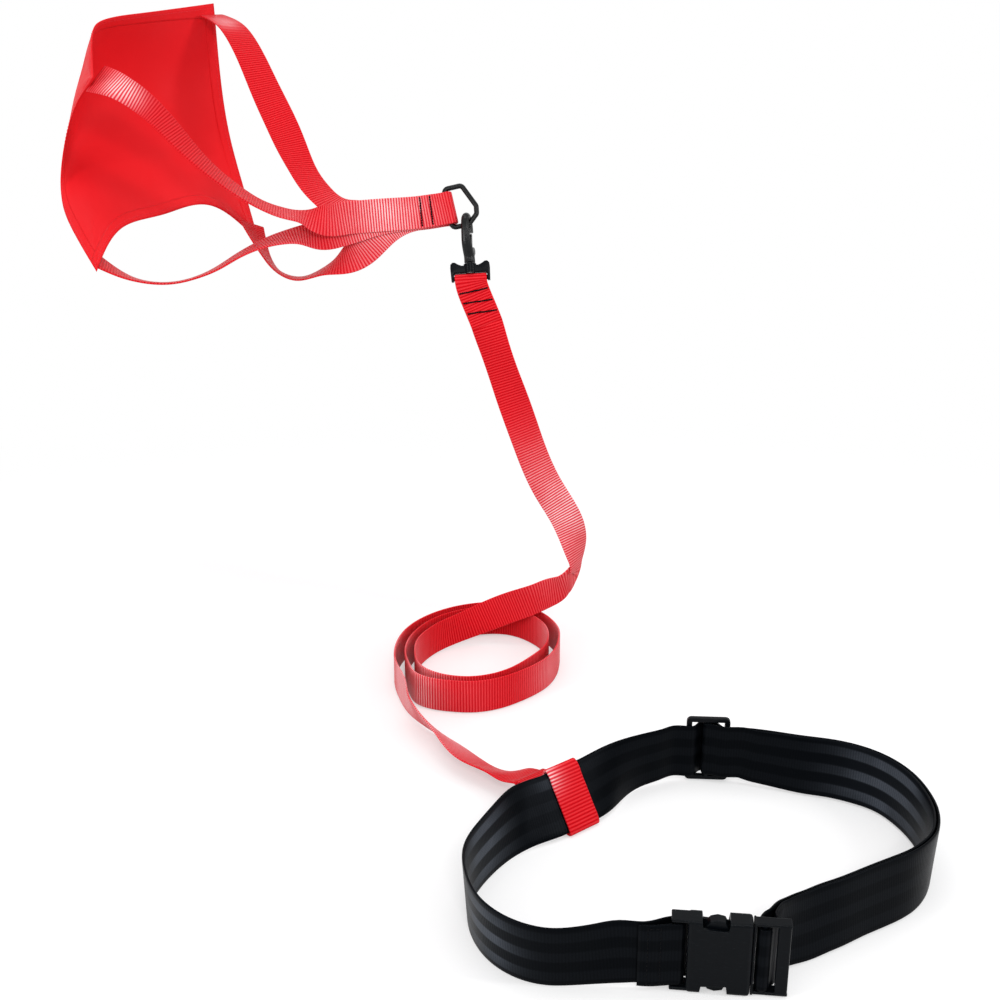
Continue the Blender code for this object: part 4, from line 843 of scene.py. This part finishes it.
belt_loop = Strap(belt_loop_rows(), TETHER_WIDTH, TETHER_THICK)
belt_loop_piece = belt_loop.piece("tether_loop_webbing", RED_WEB)
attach(belt_loop_piece, "tether")
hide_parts("tether_belt_loop")

hook_fold = Strap(hook_fold_rows(), TETHER_WIDTH, TETHER_THICK)
hook_fold_piece = hook_fold.piece("hook_fold_webbing", RED_WEB)
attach(hook_fold_piece, "tether")
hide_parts("tether_hook_fold")

front = 1 if hook_fold.normal(10.0)[1] < 0 else -1
far_end = hook_fold.length
front_stitches = ((10.6, -5.6), (19.4, -5.4), (28.2, -3.1))
rear_stitches = ((far_end - 6.0, 5.6), (far_end - 14.8, 5.4), (far_end - 23.6, 3.1))
rows = [cross_row(hook_fold, s, slant, front) for s, slant in front_stitches + rear_stitches]
fold_stitches = stitches("hook_fold_stitches", rows, BLACK_THREAD, pitch=1.75, length=2.0, radius=0.58)
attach(fold_stitches, "tether")

rows = [cross_row(belt_loop, belt_loop.length - s, 0.0, side) for s in (4.0, 14.0) for side in (1, -1)]
loop_stitches = stitches("belt_loop_stitches", rows, RED_THREAD)
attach(loop_stitches, "tether")


# Belt

buckle_frame = turned_frame(*BUCKLE)
slider_frame = turned_frame(*SLIDER)

# Height of the webbing's middle in the frame of the buckle, and of both layers in that of the slider
middle = -0.5
slider_middle = -0.9
second_middle = slider_middle + 1.6

tail = [(-46.0, -5.6), (-39.0, -5.3), (-33.0, -4.1)]
fold = circle_rows((SOCKET_BAR, 0.0), FOLD_RADIUS, -100, 100, 7)
back = [(-32.5, 1.6), (-38.0, -1.2), (-43.0, -2.9), (-47.0, -3.2)]
dip = [(0.0, 4.7), (2.5, 4.45), (5.0, 3.2), (6.4, 1.4), (7.6, -0.6), (8.9, -2.2), (10.4, -3.0)]
through = [(-u, v) for u, v in reversed(dip[1:])] + dip
through = [(-22.0, -3.0), (-14.0, -3.05)] + through + [(14.0, -3.05), (22.0, -3.0)]
strap_rows = belt_rows(buckle_frame, tail + fold + back, middle)
strap_rows += waist_rows(BELT_ROUTE)
strap_rows += belt_rows(slider_frame, through, slider_middle)
strap_rows += waist_rows(BELT_ROUTE_RIGHT)
belt = Strap(strap_rows, BELT_WIDTH, BELT_THICK)

end = [(1.5, 2.7), (0.0, 2.7)]
wrap = circle_rows((0.0, 0.0), SLIDER_BAR + SKIN_GAP + BELT_THICK / 2, 125, 265, 5)
leave = [(3.0, -3.0), (6.0, -4.3), (9.0, -5.2), (13.0, -5.5), (22.0, -5.45)]
second_rows = belt_rows(slider_frame, end + wrap + leave, second_middle)
second_rows += moved_rows(strap_rows, -BELT_LAYER, len(strap_rows) - len(BELT_ROUTE_RIGHT), -1)
adjuster = Strap(second_rows, BELT_WIDTH, BELT_THICK)

turn_pairs = [(22.6, 11.9, -1.6), (22.9, 7.6, -1.2), (22.0, 3.6, -0.8)]
turn_pairs += circle_rows((PLUG_BAR, 0.0), FOLD_RADIUS + 0.05, 0, -180, 9)
turn_pairs += [(13.2, 2.4), (14.3, 6.4), (16.2, 10.6, -1.2), (18.4, 14.0, -1.8)]

# The last stretch of both layers, by the plug: its length, and in metres the two places
# between which it goes over from the belt to the plug
NEAR_PLUG = 165.0
parting = belt.length - NEAR_PLUG
second_parting = adjuster.length - NEAR_PLUG

# At the loop of the tether and at the slider the webbing is made in pieces of its own, on both sides
LOOP_HELD = 15.5
SLIDER_HELD = 16.0
GIVING = 70.0
by_slider = nearest_reach(belt, SLIDER[0])
by_loop = nearest_reach(belt, (*LOOP_POINT, 18.0))
between = by_slider - GIVING
second_giving = nearest_reach(adjuster, belt.at(by_slider + GIVING, 0.0))
belt_piece = joined([
    belt.piece("belt_webbing", BLACK_WEB, last=by_loop - GIVING, ends=(True, False)),
    belt.piece("belt_right", BLACK_WEB, by_slider + GIVING, parting, ends=(False, False)),
])
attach(belt_piece, "belt")
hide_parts("belt_strap")
adjuster_piece = adjuster.piece(
    "belt_adjuster_webbing", BLACK_WEB, second_giving, second_parting, ends=(False, False)
)
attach(adjuster_piece, "belt")
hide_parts("belt_adjuster_strap")
gives = (
    ("belt_webbing_before_loop", "belt", "tether", by_loop - GIVING, by_loop - LOOP_HELD, by_loop),
    ("belt_webbing_after_loop", "tether", "belt", by_loop + LOOP_HELD, between, by_loop),
    ("belt_webbing_before_slider", "belt", "slider", between, by_slider - SLIDER_HELD, by_slider),
    ("belt_webbing_after_slider", "slider", "belt", by_slider + SLIDER_HELD, by_slider + GIVING, by_slider),
)
for name, one_body, other_body, first, last, held_at in gives:
    low = min(first, held_at)
    high = max(last, held_at)
    piece = belt.piece(name, BLACK_WEB, low, high, ends=(False, False))
    if name.endswith("after_slider"):
        second = adjuster.piece("adjuster_by_slider", BLACK_WEB, last=second_giving, ends=(True, False))
        piece = joined([piece, second])
    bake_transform(piece)


def rows_to_plug(strap, first):
    """Every tenth row of a strap, from a distance to just before its end."""
    kept = range(strap.index(first), strap.index(strap.length - 3.0), 10)
    return [(*strap.points[k], *strap.across[k]) for k in kept]


plug_rows = rows_to_plug(belt, parting) + belt_rows(buckle_frame, turn_pairs, middle)
plug_rows += rows_to_plug(adjuster, second_parting)[::-1]
by_plug = Strap(plug_rows, BELT_WIDTH, BELT_THICK)
turn_piece = by_plug.piece("belt_webbing_by_plug", BLACK_WEB, longest=1.6, ends=(False, False), shift=parting)
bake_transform(turn_piece)
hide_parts("belt_plug_turn")

rows = [cross_row(belt, s, 0.0, side) for s in (4.5, 11.0) for side in (1, -1)]
rows += [long_row(belt, 4.5, 11.0, v, side) for v in (-17.0, 17.0) for side in (1, -1)]
tail_stitches = stitches("belt_tail_stitches", rows, BLACK_THREAD)
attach(tail_stitches, "belt")


# Parachute cloth

def edge_curve(points):
    """An edge of the cloth: its place at a share of its length."""
    rows = smooth_curve(points, 1.0)
    reach = distances(rows)
    return lambda share: read_off(share, reach / reach[-1], rows)


TOP = edge_curve(CLOTH_TOP)
BOTTOM = edge_curve(CLOTH_BOTTOM)
NEAR = edge_curve(CLOTH_NEAR)
FAR = edge_curve(CLOTH_FAR)
CORNERS = {(u, v): (TOP if v else BOTTOM)(float(u)) for u in (0, 1) for v in (0, 1)}
CUP_WAY = np.array((-0.25, 0.93, 0.25))


def cloth_middle(u, v):
    """Middle of the cloth: u from the near edge to the far one, v from the bottom to the top."""
    u = np.asarray(u, float)
    v = np.asarray(v, float)
    a = u[..., None]
    b = v[..., None]
    across = (1 - b) * BOTTOM(u) + b * TOP(u)
    upward = (1 - a) * NEAR(v) + a * FAR(v)
    corners = (1 - a) * ((1 - b) * CORNERS[0, 0] + b * CORNERS[0, 1])
    corners = corners + a * ((1 - b) * CORNERS[1, 0] + b * CORNERS[1, 1])
    deep = CUP_DEPTH * np.sin(math.pi * u) * np.sin(math.pi * v)
    return across + upward - corners + CUP_WAY * deep[..., None]


def cloth_normal(u, v):
    """Unit normal on the hollow side."""
    small = 0.004
    u = np.asarray(u, float)
    v = np.asarray(v, float)
    along = cloth_middle(np.clip(u + small, 0, 1), v) - cloth_middle(np.clip(u - small, 0, 1), v)
    upward = cloth_middle(u, np.clip(v + small, 0, 1)) - cloth_middle(u, np.clip(v - small, 0, 1))
    normal = np.cross(along, upward)
    return normal / np.linalg.norm(normal, axis=-1, keepdims=True)


# Folds at the corners: corner, how many, and where they start
CORNER_FOLDS = (((0, 0), 9, 0.3), ((1, 0), 7, 1.4), ((0, 1), 8, 2.2), ((1, 1), 9, 0.9))


def folds(u, v):
    """Height of the soft folds that run in from the corners, and of a slight billow."""
    u = np.asarray(u, float)
    v = np.asarray(v, float)
    height = 0.45 * np.sin(5.3 * u + 2.1 * v + 0.7) * np.sin(3.7 * v - 1.9 * u + 0.4)
    for (cu, cv), count, phase in CORNER_FOLDS:
        du = np.abs(u - cu) * PANEL_SIDE
        dv = np.abs(v - cv) * PANEL_SIDE
        away = np.hypot(du, dv)
        angle = np.arctan2(dv, du + 1e-6)
        height = height + 0.75 * np.sin(count * angle + phase) * np.exp(-away / 42) * (1 - np.exp(-away / 10))
    return height


def cloth_at(u, v, height=0.0):
    lift = np.asarray(folds(u, v) + height)
    return cloth_middle(u, v) + cloth_normal(u, v) * lift[..., None]


def cloth_piece(name, u_range, v_range, counts, offset, thick, material, pucker=None):
    """A closed sheet over part of the cloth, offset to the hollow side."""
    steps = [np.linspace(*span, count + 1) for span, count in zip((u_range, v_range), counts)]
    columns, rows = np.meshgrid(*steps, indexing="ij")
    lift = np.zeros_like(columns) if pucker is None else pucker(columns, rows)
    front_side = cloth_at(columns, rows, offset + thick / 2 + lift).reshape(-1, 3)
    rear_side = cloth_at(columns, rows, offset - thick / 2 + lift * 0.5).reshape(-1, 3)
    wide = counts[1] + 1
    total = len(front_side)

    def key(i, j):
        return i * wide + j

    faces = []
    for i in range(counts[0]):
        for j in range(counts[1]):
            square = (key(i, j), key(i + 1, j), key(i + 1, j + 1), key(i, j + 1))
            faces.append(square)
            faces.append(tuple(total + k for k in reversed(square)))
    last_i, last_j = counts
    rim = [(i, 0) for i in range(last_i)] + [(last_i, j) for j in range(last_j)]
    rim += [(i, last_j) for i in range(last_i, 0, -1)] + [(0, j) for j in range(last_j, 0, -1)]
    for one, two in zip(rim, rim[1:] + rim[:1]):
        faces.append((total + key(*one), total + key(*two), key(*two), key(*one)))
    flat = np.stack([columns, rows], axis=-1).reshape(-1, 2) * PANEL_SIDE * MM
    flat = np.concatenate([flat, flat])
    uvs = [flat[k] for face in faces for k in face]
    points = np.concatenate([front_side, rear_side])
    return new_piece(name, points, faces, material, uvs)


canopy = cloth_piece("canopy_cloth", (0.0, 1.0), (0.0, 1.0), (110, 110), 0.0, CLOTH_THICK, CLOTH)
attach(canopy, "bridle")
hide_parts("canopy")

HEM_THICK = 0.3
HEM_ROW = 3.6
HEM_ROW_END = 3.0
PUCKER_LENGTH = 5.2
share = HEM_WIDTH / PANEL_SIDE
inset = 0.4 / PANEL_SIDE
cover = CLOTH_THICK / 2 + 0.04


def pucker_along(axis):
    """Small waves between the stitches of a hem."""
    return lambda u, v: 0.06 * np.sin((u if axis == 0 else v) * PANEL_SIDE * 2 * math.pi / PUCKER_LENGTH)


hems = {
    "canopy_hem_top": ((inset, 1 - inset), (1 - share, 1 - inset), (120, 5), 0),
    "canopy_hem_bottom": ((inset, 1 - inset), (inset, share), (120, 5), 0),
    "canopy_hem_near": ((inset, share), (share, 1 - share), (5, 110), 1),
    "canopy_hem_far": ((1 - share, 1 - inset), (share, 1 - share), (5, 110), 1),
}
for node, (u_range, v_range, counts, axis) in hems.items():
    waves = pucker_along(axis)
    piece = cloth_piece(node + "_cloth", u_range, v_range, counts, cover, HEM_THICK, CLOTH, waves)
    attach(piece, "bridle")
    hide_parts(node)

lines = []
run = np.linspace(HEM_ROW_END / PANEL_SIDE, 1 - HEM_ROW_END / PANEL_SIDE, 140)
still = np.full_like(run, HEM_ROW / PANEL_SIDE)
for u, v in ((run, still), (run, 1 - still), (still, run), (1 - still, run)):
    for side, height in ((1, cover + HEM_THICK / 2 + 0.05), (-1, -CLOTH_THICK / 2 - 0.02)):
        lines.append((cloth_at(u, v, height), cloth_normal(u, v) * side))
hem_stitches = stitches("canopy_hem_stitches", lines, RED_THREAD, pitch=3.0, length=2.4, radius=0.2)
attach(hem_stitches, "bridle")


# Straps of the parachute

def corner_rows(u, v, run, side):
    """The last row of a strap, on one side of the cloth just inside a corner."""
    inner = CORNER_INSET / PANEL_SIDE / math.sqrt(2)
    pu = inner if u == 0 else 1 - inner
    pv = inner if v == 0 else 1 - inner
    normal = cloth_normal(pu, pv)
    end = cloth_middle(pu, pv) + normal * side
    way = unit(end - np.array(run[-1][:3]))
    width = unit(np.cross(way, normal))
    if abs(float(np.dot(way, normal))) > 0.6:
        width = np.array(run[-1][3:])
        width = unit(width - 0.7 * normal * float(np.dot(width, normal)))
    if float(np.dot(width, run[-1][3:])) < 0:
        width = -width
    return [(*end, *width)]


up_bar = -unit(RING_BAR)
stack_line = smooth_curve(STACK_ROUTE, 0.5)
stack_reach = distances(stack_line)
towards = -unit(stack_line[4] - stack_line[0])
viewer = unit(np.cross(up_bar, towards))
if viewer[1] > 0:
    viewer = -viewer


def on_stack(distance, side, rise=0.0):
    """Point and width at a distance from the bar, side towards the viewer, rise upwards."""
    point = read_off(distance, stack_reach, stack_line)
    part = distance / stack_reach[-1]
    width = unit(up_bar * (1 - part) + np.array((-0.03, 0.05, 1.0)) * part)
    return (*(point + viewer * side + width * rise), *width)


# Distance from the bar where a strap lies flat on the stack, and the thickness of one layer
FLAT_FROM = 13.0
layer = TETHER_THICK + 0.5

# For each strap: its layer on the stack, and two runs, each to a corner u, v on one side of the cloth
plans = {
    "bridle_strap_upper": (1, STRAP_TOP_NEAR, (0, 1, 5.0), STRAP_TOP_FAR, (1, 1, 5.0)),
    "bridle_strap_lower": (0, STRAP_LOW_NEAR, (0, 0, -4.6), STRAP_LOW_FAR, (1, 0, 4.0)),
}
bridle = {}
for node, (order, near_run, near_corner, far_run, far_corner) in plans.items():
    radius = WIRE_RADIUS + SKIN_GAP + TETHER_THICK / 2 + order * layer
    side = layer / 2 + order * layer
    near_stops, far_stops = STACK_STOPS[order]
    near = [on_stack(distance, side + spread, rise) for distance, rise, spread in near_stops]
    first_spread = 0.45 + 0.35 * order
    near.append(on_stack(FLAT_FROM, side + first_spread))
    far = [on_stack(distance, -side - spread, rise) for distance, rise, spread in far_stops[1:]]
    far.insert(0, on_stack(FLAT_FROM, -side - first_spread))
    turn = []
    for angle in np.radians(np.linspace(115, -115, 9)):
        point = np.array(RING_CENTRE) + towards * radius * math.cos(angle) + viewer * radius * math.sin(angle)
        turn.append((*point, *up_bar))
    route = near + turn + far
    for run, corner, finish in ((near_run, near_corner, False), (far_run, far_corner, True)):
        u, v, clear = corner
        outer = [tuple(row) for row in run] + corner_rows(u, v, run, clear)
        route = route + outer if finish else outer[::-1] + route
    bridle[node] = Strap(route, TETHER_WIDTH, TETHER_THICK)
    piece = bridle[node].piece(node.replace("strap", "webbing"), RED_WEB)
    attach(piece, "bridle")
    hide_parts(node)

upper = bridle["bridle_strap_upper"]
from_bar = nearest_reach(upper, on_stack(FLAT_FROM, layer * 1.5 + 0.8)[:3])
face = 1 if upper.normal(from_bar)[1] < 0 else -1
rows = [cross_row(upper, from_bar - distance, 1.5, face) for distance in (2.3, 10.4)]
stack_stitches = stitches("stack_stitches", rows, BLACK_THREAD, pitch=1.8, length=2.0, radius=0.54)
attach(stack_stitches, "bridle")


# Ring: wire bent to a D with a flat top and a blunt nose

def rounded_path(corners, radius, steps=5):
    """A closed line through corners in a plane, each rounded."""
    path = []
    count = len(corners)
    for k in range(count):
        here = np.array(corners[k], float)
        before = unit(np.array(corners[k - 1], float) - here)
        after = unit(np.array(corners[(k + 1) % count], float) - here)
        half = math.acos(max(-1.0, min(1.0, float(np.dot(before, after))))) / 2
        reach = radius / math.tan(half)
        centre = here + unit(before + after) * radius / math.sin(half)
        first = here + before * reach - centre
        last = here + after * reach - centre
        for share in np.linspace(0, 1, steps):
            path.append(tuple(centre + unit(first * (1 - share) + last * share) * radius))
    return path


def filled_in(path, step):
    """The same closed line with points at most step apart."""
    dense = []
    for one, two in zip(path, path[1:] + path[:1]):
        one = np.array(one)
        two = np.array(two)
        count = max(1, int(math.ceil(np.linalg.norm(two - one) / step)))
        dense += [tuple(one + (two - one) * k / count) for k in range(count)]
    return dense


RING_DEPTH = (0.975, 0.067, 0.213)
ring_frame = frame_at(RING_CENTRE, RING_BAR, np.cross(RING_BAR, RING_DEPTH))
RING_CORNERS = ((-15.5, 0.0), (-15.5, 14.2), (2.5, 21.9), (8.6, 20.9), (15.3, 13.2), (15.2, 0.0))
RING_BEND = 3.2
ring_line = np.array(filled_in(rounded_path(RING_CORNERS, RING_BEND), 1.2))
sides = 16
points = []
for k in range(len(ring_line)):
    way = unit(ring_line[(k + 1) % len(ring_line)] - ring_line[k - 1])
    out = np.array((-way[1], way[0]))
    for j in range(sides):
        a = 2 * math.pi * j / sides
        flat = ring_line[k] + out * WIRE_RADIUS * math.cos(a)
        points.append(tuple(ring_frame @ Vector((flat[0], flat[1], WIRE_RADIUS * math.sin(a)))))
faces = []
for k in range(len(ring_line)):
    one = k * sides
    two = (k + 1) % len(ring_line) * sides
    faces += [(one + j, one + (j + 1) % sides, two + (j + 1) % sides, two + j) for j in range(sides)]
ring_piece = new_piece("ring_wire", points, faces, METAL)
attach(ring_piece, "ring")
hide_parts("d_ring")


# Eye of the swivel: a saddle with two horns, a boss round the stem and the bar of the fold

SADDLE_HALF = 3.2
BOSS_RADIUS = 5.0
HEAD_ROOM = 3.75
STEM_BORE = 2.35


def closed_plate(outline, low, high, bevel):
    """An outline in X and Z, extruded along Y, with rounded rims."""
    bm = bmesh.new()
    face = bm.faces.new([bm.verts.new((x, low, z)) for x, z in outline])
    grown = bmesh.ops.extrude_face_region(bm, geom=[face])
    moved = [part for part in grown["geom"] if isinstance(part, bmesh.types.BMVert)]
    bmesh.ops.translate(bm, vec=(0.0, high - low, 0.0), verts=moved)
    rims = [edge for edge in bm.edges if abs(edge.verts[0].co.y - edge.verts[1].co.y) < 1e-6]
    bmesh.ops.bevel(bm, geom=rims, offset=bevel, segments=4, profile=0.5, affect="EDGES", clamp_overlap=True)
    bmesh.ops.recalc_face_normals(bm, faces=bm.faces[:])
    if bm.calc_volume(signed=True) < 0:
        bmesh.ops.reverse_faces(bm, faces=bm.faces[:])
    return bm


def round_bar(start, end, radius, sides=32):
    bm = bmesh.new()
    start = Vector(start)
    end = Vector(end)
    along = end - start
    bmesh.ops.create_cone(
        bm, cap_ends=True, segments=sides, radius1=radius, radius2=radius, depth=along.length
    )
    bm.transform(Matrix.Translation((start + end) / 2) @ along.to_track_quat("Z", "Y").to_matrix().to_4x4())
    return bm


def mesh_piece(name, bm, place, material):
    bm.transform(Matrix.Scale(MM, 4) @ place)
    mesh = bpy.data.meshes.new(name)
    bm.to_mesh(mesh)
    bm.free()
    mesh.materials.append(material)
    piece = bpy.data.objects.new(name, mesh)
    scene.collection.objects.link(piece)
    return piece


def combine(piece, bm, place, operation):
    """Joins a shape to a piece, or cuts it out, and keeps only the result."""
    tool = mesh_piece(piece.name + "_tool", bm, place, None)
    modifier = piece.modifiers.new("shape", "BOOLEAN")
    modifier.operation = operation
    modifier.solver = "EXACT"
    modifier.object = tool
    bpy.context.view_layer.update()
    shaped = bpy.data.meshes.new_from_object(piece.evaluated_get(bpy.context.evaluated_depsgraph_get()))
    piece.modifiers.clear()
    piece.data = shaped
    bpy.data.objects.remove(tool, do_unlink=True)


half_eye = [(6.6, 1.7), (9.4, 2.9), (11.6, 4.4), (13.6, 4.5), (15.2, 3.0), (15.5, 0.0), (15.1, -10.4)]
half_eye += [(13.2, -10.4), (13.2, -5.6), (12.0, -4.2)]
outline = half_eye + [(-x, z) for x, z in reversed(half_eye)]
saddle = closed_plate(outline, -SADDLE_HALF, SADDLE_HALF, 0.7)
eye = mesh_piece("swivel_eye_moulding", saddle, eye_frame, PLASTIC)
shapes = (
    ((0, 0, -4.0), (0, 0, 2.9), BOSS_RADIUS, "UNION"),
    ((0, 0, -8.0), (0, 0, -1.4), HEAD_ROOM, "DIFFERENCE"),
    ((0, 0, -8.0), (0, 0, 8.0), STEM_BORE, "DIFFERENCE"),
    ((-EYE_BAR_HALF, 0, -EYE_BAR_DROP), (EYE_BAR_HALF, 0, -EYE_BAR_DROP), EYE_BAR_RADIUS, "UNION"),
)
for start, stop, radius, operation in shapes:
    combine(eye, round_bar(start, stop, radius), eye_frame, operation)
eye.data.materials.clear()
eye.data.materials.append(PLASTIC)
eye.data.polygons.foreach_set("use_smooth", [True] * len(eye.data.polygons))
eye.data.set_sharp_from_angle(angle=math.radians(35))
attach(eye, "tether")
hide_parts("swivel_eye")


# Moulded and metal pieces keep their CAD shape

kept_nodes = {
    PLASTIC: ("buckle_socket", "buckle_plug", "latch_arm_upper", "latch_arm_lower", "slider"),
    METAL: ("hook_body", "hook_gate"),
}
for material, nodes in kept_nodes.items():
    for node in nodes:
        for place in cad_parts[node].material_slots:
            place.material = material


# Floor, world and lamps

def white_where_seen(tree):
    """1 for the camera, for reflections and for what is seen through glass."""
    ray = put(tree, "LightPath").outputs
    seen = calc(tree, "MAXIMUM", ray["Is Camera Ray"], ray["Is Glossy Ray"])
    return calc(tree, "MAXIMUM", seen, ray["Is Transmission Ray"])


FLOOR_HALF = 2600.0
FLOOR_NEAR = -1600.0
FLOOR_FAR = 4200.0
floor_height = cad_box[0][2] / MM - 0.15
floor_corners = (
    (-FLOOR_HALF, FLOOR_NEAR), (FLOOR_HALF, FLOOR_NEAR), (FLOOR_HALF, FLOOR_FAR), (-FLOOR_HALF, FLOOR_FAR)
)
floor_points = [(x, y, floor_height) for x, y in floor_corners]
floor_material = bpy.data.materials.new("pale floor")
floor_material.use_nodes = True
tree = floor_material.node_tree
tree.nodes.clear()
seen = white_where_seen(tree)
spot = put(tree, "TexCoord").outputs["Object"]
away = put(tree, "VectorMath", {0: spot}, operation="LENGTH").outputs["Value"]
far_off = mapped(tree, away, 0.45, 0.95, curve="SMOOTHSTEP")
matt = put(tree, "BsdfDiffuse", {"Color": (0.62, 0.62, 0.62, 1.0)}).outputs[0]
glow = put(tree, "Emission", {"Strength": calc(tree, "MULTIPLY", seen, 0.42)}).outputs[0]
close = put(tree, "AddShader", {0: matt, 1: glow}).outputs[0]
plain = put(tree, "Emission", {"Strength": 1.0}).outputs[0]
share = calc(tree, "MULTIPLY", far_off, seen)
both = put(tree, "MixShader", {0: share, 1: close, 2: plain}).outputs[0]
put(tree, "OutputMaterial", {"Surface": both})
floor = new_piece("floor", floor_points, [(0, 1, 2, 3)], floor_material, smooth=False)

world = bpy.data.worlds.new("studio")
scene.world = world
world.use_nodes = True
tree = world.node_tree
tree.nodes.clear()
sky = blended(tree, white_where_seen(tree), (0.70, 0.70, 0.71, 1.0), (1.0, 1.0, 1.0, 1.0))
put(tree, "OutputWorld", {"Surface": put(tree, "Background", {"Color": sky}).outputs[0]})


def soft_lamp(name, place, target, size, power):
    """A rectangular lamp, in metres, turned towards its target."""
    data = bpy.data.lights.new(name, "AREA")
    data.shape = "RECTANGLE"
    data.size, data.size_y = size
    data.energy = power
    lamp = bpy.data.objects.new(name, data)
    scene.collection.objects.link(lamp)
    lamp.location = place
    way = Vector(target) - Vector(place)
    lamp.rotation_euler = way.to_track_quat("-Z", "Y").to_euler()


LAMPS = (
    ("lamp_left", (-1.3, -1.0, 0.55), (0.0, 0.0, 0.15), (0.16, 0.8), 8.0),
    ("lamp_front", (0.25, -1.7, 1.1), (0.0, 0.0, 0.15), (0.3, 0.2), 8.0),
    ("lamp_right", (1.4, -0.6, 0.8), (0.0, 0.1, 0.25), (0.16, 0.8), 7.0),
    ("lamp_top", (0.0, 0.1, 1.9), (0.0, 0.0, 0.0), (1.2, 1.0), 6.0),
)
for lamp in LAMPS:
    soft_lamp(*lamp)
